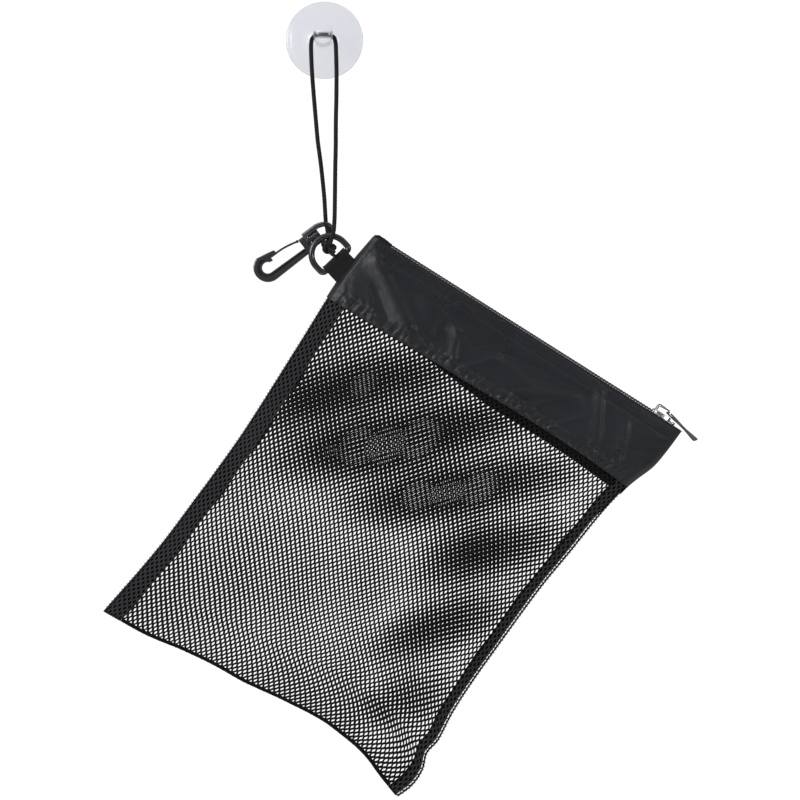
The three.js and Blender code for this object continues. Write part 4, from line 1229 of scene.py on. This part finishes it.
def cloth_relief(x, z):
    """Millimetres outwards at x along the zip and z under it. Each fold is its height times a bell
    across its line, steeper on its upper side, and a soft fade past its ends. Puckers are short
    waves that die away from the hem's stitches, and each row of stitches draws the cloth in by a
    narrow bell."""
    height = 0.12 * np.sin(x * 0.11 + z * 0.05) + 0.1 * np.sin(x * 0.047 - z * 0.13 + 1.0)
    for x0, z0, x1, z1, width, tall in folds:
        dx, dz = x1 - x0, z1 - z0
        length = math.hypot(dx, dz)
        along = ((x - x0) * dx + (z - z0) * dz) / length
        aside = ((z - z0) * dx - (x - x0) * dz) / length
        past = np.maximum(np.maximum(-along, along - length), 0)
        width = width * (1 + 0.45 * np.tanh(aside / 2))
        height = height + tall * np.exp(-((aside / width) ** 2) - (past / 7) ** 2)
    puckers = 0.32 * np.sin(x * 0.95 + 1.5 * np.sin(x * 0.21)) + 0.2 * np.sin(x * 2.1 + z * 0.35)
    height = height + smooth_step(41, 46, z) * puckers
    top = np.exp(-(((z - 6) / 4.0) ** 2))
    height = height + top * 0.2 * np.sin(x * 1.3 + 2 * np.sin(x * 0.13)) * np.sin(x * 0.31)
    for row in stitch_rows:
        height = height - 0.5 * np.exp(-(((z - row) / 0.8) ** 2))
    return height


print(len(folds), "folds and", len(stitch_rows), "rows of stitches on each side")

# %% [markdown]
# The header lies over the bag's surface and carries the folds. At both ends the cloth turns in to
# meet the other side over the seam, which a root makes as steep as a real turned edge.

# %% Header surface
turn_in_share = 0.012
back_hang = 6.5


def turn_in(x_share, push):
    """In the last 1.2 percent at each end, where the cloth turns in: the share of its depth that is
    left, which is the root of the share of the way, and its shift past the end, up to the push."""
    near = np.clip(np.minimum(x_share, 1 - x_share) / turn_in_share, 0, 1)
    aside = push * (1 - near) * np.where(x_share < 0.5, -1, 1)
    return np.sqrt(near), placed(together(aside, 0, 0), (0, 0, 0), bag_tilt)


def header_outer(side, x_share, z):
    """The outer face at a share along and a depth under the zip: the bag's surface, 1.1 mm proud,
    plus the folds. At both ends it closes in to the middle plane and stands 0.9 mm past the
    seam."""
    down = z / bag_height
    flat = smooth_step(0.0, 0.05, np.minimum(x_share, 1 - x_share))
    height = cloth_relief(x_share * bag_width, z) * flat * smooth_step(-2, 3, z)
    lift = 1.1 + height * (1 if side < 0 else 0.8)
    left_over, shift = turn_in(x_share, 0.9)
    points = bag_points(x_share, down) + shift
    depth = half_depth(x_share, down) + lift
    points[..., 1] = bag_origin[1] + side * (0.08 + (depth - 0.08) * left_over)
    return points


def hem_at(side, x_share):
    """The header's depth: at the back it hangs lower on the right, seen through the front net."""
    return header_depth + (back_hang if side > 0 else 0) * smooth_step(0.28, 0.6, x_share)


print("the back hem ends at", float(hem_at(1, 1.0)), "mm, the front one at", header_depth)

# %% [markdown]
# Each header is a closed thick sheet: the outer face carries the folds, and the inner one is plain.
# Solidify could give the thickness, but it would push the folds through to the net. The stitches
# are separate threads that lie on the folds.

# %% Header panels


def header_panel(side):
    """Outer and inner faces on one grid, closer columns at both ends. The inner face keeps 0.3 mm
    off the net and the tape, and the outer one at least 0.03 mm off the inner."""
    ends = np.concatenate([
        np.linspace(0, turn_in_share, 9)[:-1], np.linspace(turn_in_share, 1 - turn_in_share, 250),
        np.linspace(1 - turn_in_share, 1, 9)[1:]])
    z, x = np.meshgrid(np.linspace(0, header_depth, 64), ends, indexing="ij")
    z = z * hem_at(side, x) / header_depth
    left_over, shift = turn_in(x, 0.45)
    inner = bag_points(x, z / bag_height) + shift
    depth = half_depth(x, z / bag_height) + 0.3
    inner[..., 1] = bag_origin[1] + side * (0.05 + (depth - 0.05) * left_over)
    outer = header_outer(side, x, z)
    too_close = side * (outer[..., 1] - inner[..., 1]) < 0.03
    outer[..., 1] = np.where(too_close, inner[..., 1] + side * 0.03, outer[..., 1])
    return slab(outer, inner, together(x * bag_width, z) + CLOTH_UV)


def stitch_row(side, z, pitch=2.7, length=2.1):
    """Stitches a pitch apart on the header's outer face: both ends dip into the cloth, the middle
    stands proud. The two rows at the hem hang with it."""
    x = np.arange(3.5, bag_width - 4.5, pitch)
    drop = z + (hem_at(side, x / bag_width) - header_depth) * (z > 40)
    starts = header_outer(side, x / bag_width, drop)
    ends = header_outer(side, (x + length) / bag_width, drop)
    out = np.broadcast_to([0.0, side * 0.3, 0.0], starts.shape)
    return stitches(starts, ends, out, radius=0.24)


for side, label in SIDES:
    panel = add_piece(f"header_cloth_{label}", header_panel(side), taffeta_finish, "bag",
                      [f"header_{label}"])
    rows = [stitch_row(side, z) for z in stitch_rows]
    sewn = add_piece(f"header_thread_{label}", rows, thread_finish, "bag", [])

# %% [markdown]
# A zip's tape is a woven strip on each side, sewn under the header, and its weave is a fine
# herringbone; its colour is darker in the grooves of that weave, as painted shade. The strip is
# bent once along its length: from the coil's foot out over the flange and down inside the header.
# Both parts are worked out as rows of points and joined into one grid.

# %% Zip tapes
tape_finish = new_finish(
    "zip_tape_weave", (0.012, 0.012, 0.013), 0.8, Specular_IOR_Level=0.25)
tape_x, tape_y = uv_axes(tape_finish)
chevron = calc(tape_finish, "ADD", tape_x, calc(tape_finish, "PINGPONG", tape_y, 1.1))
twill_and_groove_shade = wave(tape_finish, chevron, 0.55)
# Painted shade: the colour is darker in the grooves of the herringbone.
tones(tape_finish, twill_and_groove_shade, (0.007, 0.007, 0.008), (0.026, 0.026, 0.029))
relief(tape_finish, twill_and_groove_shade, 0.0002)
tape_drop, tape_end = 11, 3.4


def across_at(x, down):
    """The share across of a place in millimetres."""
    left, right = share_at(left_edge, down), share_at(right_edge, down)
    return (x / bag_width - left) / (right - left)


def tape_face(side, inward):
    """From the coil's foot out over the flange and down inside the header, at every place along
    the tape."""
    x = np.linspace(tape_end, bag_width - tape_end, 150)[None, :]
    top = half_depth(across_at(x, 0 * x), 0 * x) - inward
    flange_z = -0.1 - inward + 0.3
    flange = together(x, side * (0.8 + (top - 0.8) * np.linspace(0, 1, 6)[:, None]), flange_z)
    drop = -flange_z + (tape_drop + flange_z) * np.linspace(0, 1, 18)[1:, None]
    down = drop / bag_height
    wall = together(x, side * (half_depth(across_at(x, down), down) - inward), -drop)
    return np.concatenate([flange, wall])


for side, label in SIDES:
    outer, inner = tape_face(side, 0.3), tape_face(side, 0.85)
    uv = together(outer[..., 0], walked(outer[:, 70])[:, None]) + CLOTH_UV
    tape = slab(on_bag(outer), on_bag(inner), uv)
    add_piece(f"tape_{label}", tape, tape_finish, "bag", [f"zip_tape_{label}"])

# %% [markdown]
# A coil is one plastic wire wound into teeth and sewn to its tape. Its turns are what the eye reads
# as teeth along the bag's top edge. Single teeth could be copied along the tape, but here the wire
# is a true helix, squashed to the coil's width and height, so each tooth runs on into the next.

# %% Zip coils
coil_finish = new_finish("coil_wire", (0.03, 0.03, 0.032), 0.38)
roughness_by(coil_finish, noise(coil_finish, 700), 0.3, 0.5)
tones(coil_finish, noise(coil_finish, 300, 4), (0.012, 0.012, 0.013), (0.036, 0.037, 0.04))
zip_start, zip_end = 8.5, bag_width - 8.8


def coil(side, start, end, pitch=2.3, wire=0.42):
    """A helix of wire round a line 1.8 mm aside and 1.05 mm up: 0.58 mm times the cosine aside and
    0.43 mm times the sine up. The back one is half a turn further on."""
    turns = int((end - start - 2 * wire) / pitch)
    t = np.linspace(0, turns * 2 * math.pi, turns * 14 + 1) + (math.pi if side > 0 else 0)
    x = np.linspace(start + wire, end - wire, len(t))
    line = together(x, side * 1.8 + 0.58 * np.cos(t), 1.05 + 0.43 * np.sin(t))
    return loft(on_bag(sweep(line, circle(wire, 6), out=(1, 0, 0))))


for side, label in SIDES:
    teeth = coil(side, zip_start, zip_end)
    add_piece(f"coil_{label}", teeth, coil_finish, "bag", [f"zip_coil_{label}"], crease=60)

# %% [markdown]
# The stops, the slider and its pull are pressed and plated metal, bright as a mirror with fine
# scratches from use. A stretched noise gives the scratches, drawn out along the zip.

# %% Bright metal
metal_finish = new_finish("bright_metal", (0.82, 0.83, 0.85), 0.12, Metallic=1.0)
where = node(metal_finish, "TexCoord", {}).outputs["Object"]
drawn = node(metal_finish, "Mapping", {
    "Vector": where, "Rotation": (0, 0.56, 0), "Scale": (60, 900, 2200)})
scratch = noise(metal_finish, 1.0, 5.0, drawn.outputs["Vector"])
roughness_by(metal_finish, scratch, 0.06, 0.24)
tones(metal_finish, noise(metal_finish, 350), (0.74, 0.75, 0.77), (0.86, 0.87, 0.88))
relief(metal_finish, scratch, 0.00002)
print("finish", metal_finish.name)

# %% [markdown]
# A stop is a scrap of metal pressed round the tape's edge. A bevelled cube would do, but pressed
# metal has no straight edge. A pillow shape, a box whose corners are powers of sines, is nearer.

# %% Stops
stop_length, stop_low, stop_high = 2.2, 0.2, 1.9


def pillow(low, high, power=0.35, rows=14, sides=24):
    """A box with round corners: each coordinate is half the size times a sine or cosine raised to
    a small power."""
    low, high = np.asarray(low, float), np.asarray(high, float)
    rise = np.linspace(-QUARTER, QUARTER, rows + 2)[1:-1, None]
    turn = round_turn(sides)[None, :]
    level = powered(np.cos(rise), power)
    unit = together(
        powered(np.sin(rise), power), level * powered(np.cos(turn), power),
        level * powered(np.sin(turn), power))
    return loft(on_bag((low + high) / 2 + unit * (high - low) / 2))


for side, label in SIDES:
    inner_y, outer_y = sorted((side * 0.8, side * 2.8))
    stop = pillow(
        (zip_end + 0.3, inner_y, stop_low), (zip_end + 0.3 + stop_length, outer_y, stop_high))
    add_piece(f"top_stop_{label}", stop, metal_finish, "bag", [f"zip_top_stop_{label}"])
stop = pillow(
    (zip_start - 0.3 - stop_length, -2.8, stop_low), (zip_start - 0.3, 2.8, stop_high))
add_piece("bottom_stop", stop, metal_finish, "bag", ["zip_bottom_stop"])

# %% [markdown]
# At the ring's end the zip is closed by a scrap of tape folded over both coils, as a sewer does to
# hide their cut ends. It could be a bent plane with Solidify. Here two half tubes, one 0.5 mm
# inside the other, follow a rounded arch over the zip, and the slab between them is the fold.

# %% The zip's folded end
fold_start, fold_end = 0.6, 14.4
fold_x, fold_turn = np.meshgrid(
    np.linspace(fold_start, fold_end, 50), np.linspace(0, math.pi, 25), indexing="ij")


def fold_layer(out):
    """An arch over the zip, lower near its start by a bell and towards its end by a smooth step:
    its sides are powers of cosine and sine, and it stands that far out from the inner one."""
    start_dip = 1 - 0.75 * np.exp(-(((fold_x - fold_start) / 1.6) ** 2))
    rise = start_dip * (1 - 0.3 * smooth_step(8, fold_end, fold_x)) + 0.03 * np.sin(fold_x * 1.9)
    aside = (3.0 + out) * powered(np.cos(fold_turn), 0.6)
    up = 0.1 + (2.15 * rise + out) * powered(np.sin(fold_turn), 0.6)
    return on_bag(together(fold_x, aside, up))


fold = slab(fold_layer(0.5), fold_layer(0.0), together(fold_x, fold_turn * 3) + CLOTH_UV)
add_piece("zip_end_fold", fold, tape_finish, "bag", [])

# %% [markdown]
# The slider's body wraps the chain, so its section is a channel: a top plate, two flanges and a
# neck between the coils. Cutting a channel out of a block would leave untidy faces. Instead the
# section is one outline carried along the zip, narrower at the tail, and the crown is an arch.

# %% Slider
slider_end = bag_width - 10.8


def slider_rings():
    """The section round the chain: the top plate, both flanges, the neck between the coils and the
    small plate under them. It is carried over 14 mm, narrower at its tail, and drawn in at both
    ends."""
    upper = [
        (-4.4, 2.9), (-4.4, 0.3), (-3.1, 0.3), (-3.1, 2.2),
        (-0.5, 2.2), (-0.5, -1.0), (-1.7, -1.0), (-1.7, -2.0)]
    section = np.array([(-3.9, 3.2)] + upper + [(-y, z) for y, z in upper[::-1]] + [(3.9, 3.2)])
    x = np.array([0, 0.25, 0.7, 2, 4, 7, 10, 12, 13.3, 13.75, 14])
    width = np.array([0.9, 0.97, 1, 1, 1, 0.96, 0.9, 0.88, 0.88, 0.86, 0.8])
    outer_only = np.where(np.abs(section[:, 0]) > 3.2, 1.0, 0.0)
    y = section[:, 0] * (1 + (width[:, None] - 1) * outer_only)
    return together(slider_end - x[:, None], y, section[:, 1])


def crown_rings():
    """The crown: a flat strap carried over an arch of two legs and a level top. It is 1.4 mm wide,
    and its thickness falls from 2 mm at the tail's leg to 0.9 mm where the pull's eye hangs."""
    middle = slider_end - 7
    corner = 1.3
    side_x, top_z = 5.5 - 0.45, 7.7 - 0.45
    turn = np.linspace(math.pi, QUARTER, 9)
    left = together(
        middle - side_x + corner + corner * np.cos(turn), 0.0,
        top_z - corner + corner * np.sin(turn))
    right = (left - [middle, 0, 0])[::-1] * [-1, 1, 1] + [middle, 0, 0]
    leg = [(middle - side_x, 0, 2.6), (middle - side_x, 0, 4.5)]
    other_leg = [(middle + side_x, 0, 4.5), (middle + side_x, 0, 2.6)]
    line = np.concatenate([leg, left, right, other_leg])
    half = [(-0.45, -0.6), (-0.35, -0.7), (0.35, -0.7), (0.45, -0.6)]
    section = np.array(half + [(-x, -y) for x, y in half])
    thick = 1 + 1.2 * (1 - smooth_step(-side_x, side_x * 0.5, line[:, 0] - middle))
    return sweep(line, section * together(thick, 1.0)[:, None])


slider_parts = [loft(on_bag(rings)) for rings in (slider_rings(), crown_rings())]
add_piece(
    "slider", slider_parts, metal_finish, "slider", ["zip_slider"], crease=30, bevel=0.12)

# %% [markdown]
# The pull is a flat tab with a waist, stamped from plate, and its end is an eye that hangs in the
# crown. Its metal is coloured dark: painted shade for the dark room that its faces reflect. Seen
# flat both are layers of squares: the tab is spread between its two edges, and the eye lies
# between two loops. A thickness makes them plates, and three turns give their hang.

# %% Pull
# Painted shade: the pull's metal colour is dark, standing for the dark room its faces reflect.
pull_painted_dark_finish = new_finish("metal_painted_dark", (0.09, 0.09, 0.095), 0.14, Metallic=1.0)
roughness_by(pull_painted_dark_finish, noise(pull_painted_dark_finish, 900, 4), 0.08, 0.22)
plate_half = 0.45
tab_start, tab_tip, tip_radius = 5.45, 27.8, 0.9
pull_turn = (turn_about("x", math.radians(20)) @ turn_about("y", math.radians(13.8))
             @ turn_about("z", math.radians(-18)))

share = np.linspace(0, 1, 30)
tab_x = tab_start + (tab_tip - tip_radius - tab_start) * share
tab_half = 2.5 + 1.3 * share - 1.6 * np.sin(math.pi * share) ** 2
turn = np.linspace(0, QUARTER, 8)[1:]
tip = together(
    tab_tip - tip_radius + tip_radius * np.sin(turn), 3.8 - tip_radius + tip_radius * np.cos(turn))
tab_root = line_2d([(4.55, 2.5), (tab_start, 2.5)], 3)[:-1]
side_x, side_y = np.concatenate([tab_root, together(tab_x, tab_half), tip]).T[..., None]
tab_layer = together(side_x, side_y * np.linspace(-1, 1, 9))


def eye_loop(x0, x1, y):
    """A rectangle of points, not closed, from its lower corner at the crown."""
    return line_2d([(x0, -y), (x0, y), (x1, y), (x1, -y), (x0, -y)], 10)[:-1]


eye_layer = np.stack([eye_loop(-0.45, 5.0, 2.5), eye_loop(0.45, 4.55, 1.65)])


def plate_shell(layer, closed):
    """A flat layer of (along, across) points given 0.9 mm of thickness, turned into the pull's
    hang and placed."""
    faces = [
        on_bag(together(layer[..., 0], layer[..., 1], z) @ pull_turn + [slider_end - 3.75, 0, 5.9])
        for z in (plate_half, -plate_half)
    ]
    return slab(*faces, layer, close_columns=closed)


pull_parts = [plate_shell(tab_layer, False), plate_shell(eye_layer, True)]
add_piece("pull", pull_parts, pull_painted_dark_finish, "pull", ["zip_pull"], crease=30, bevel=0.15)
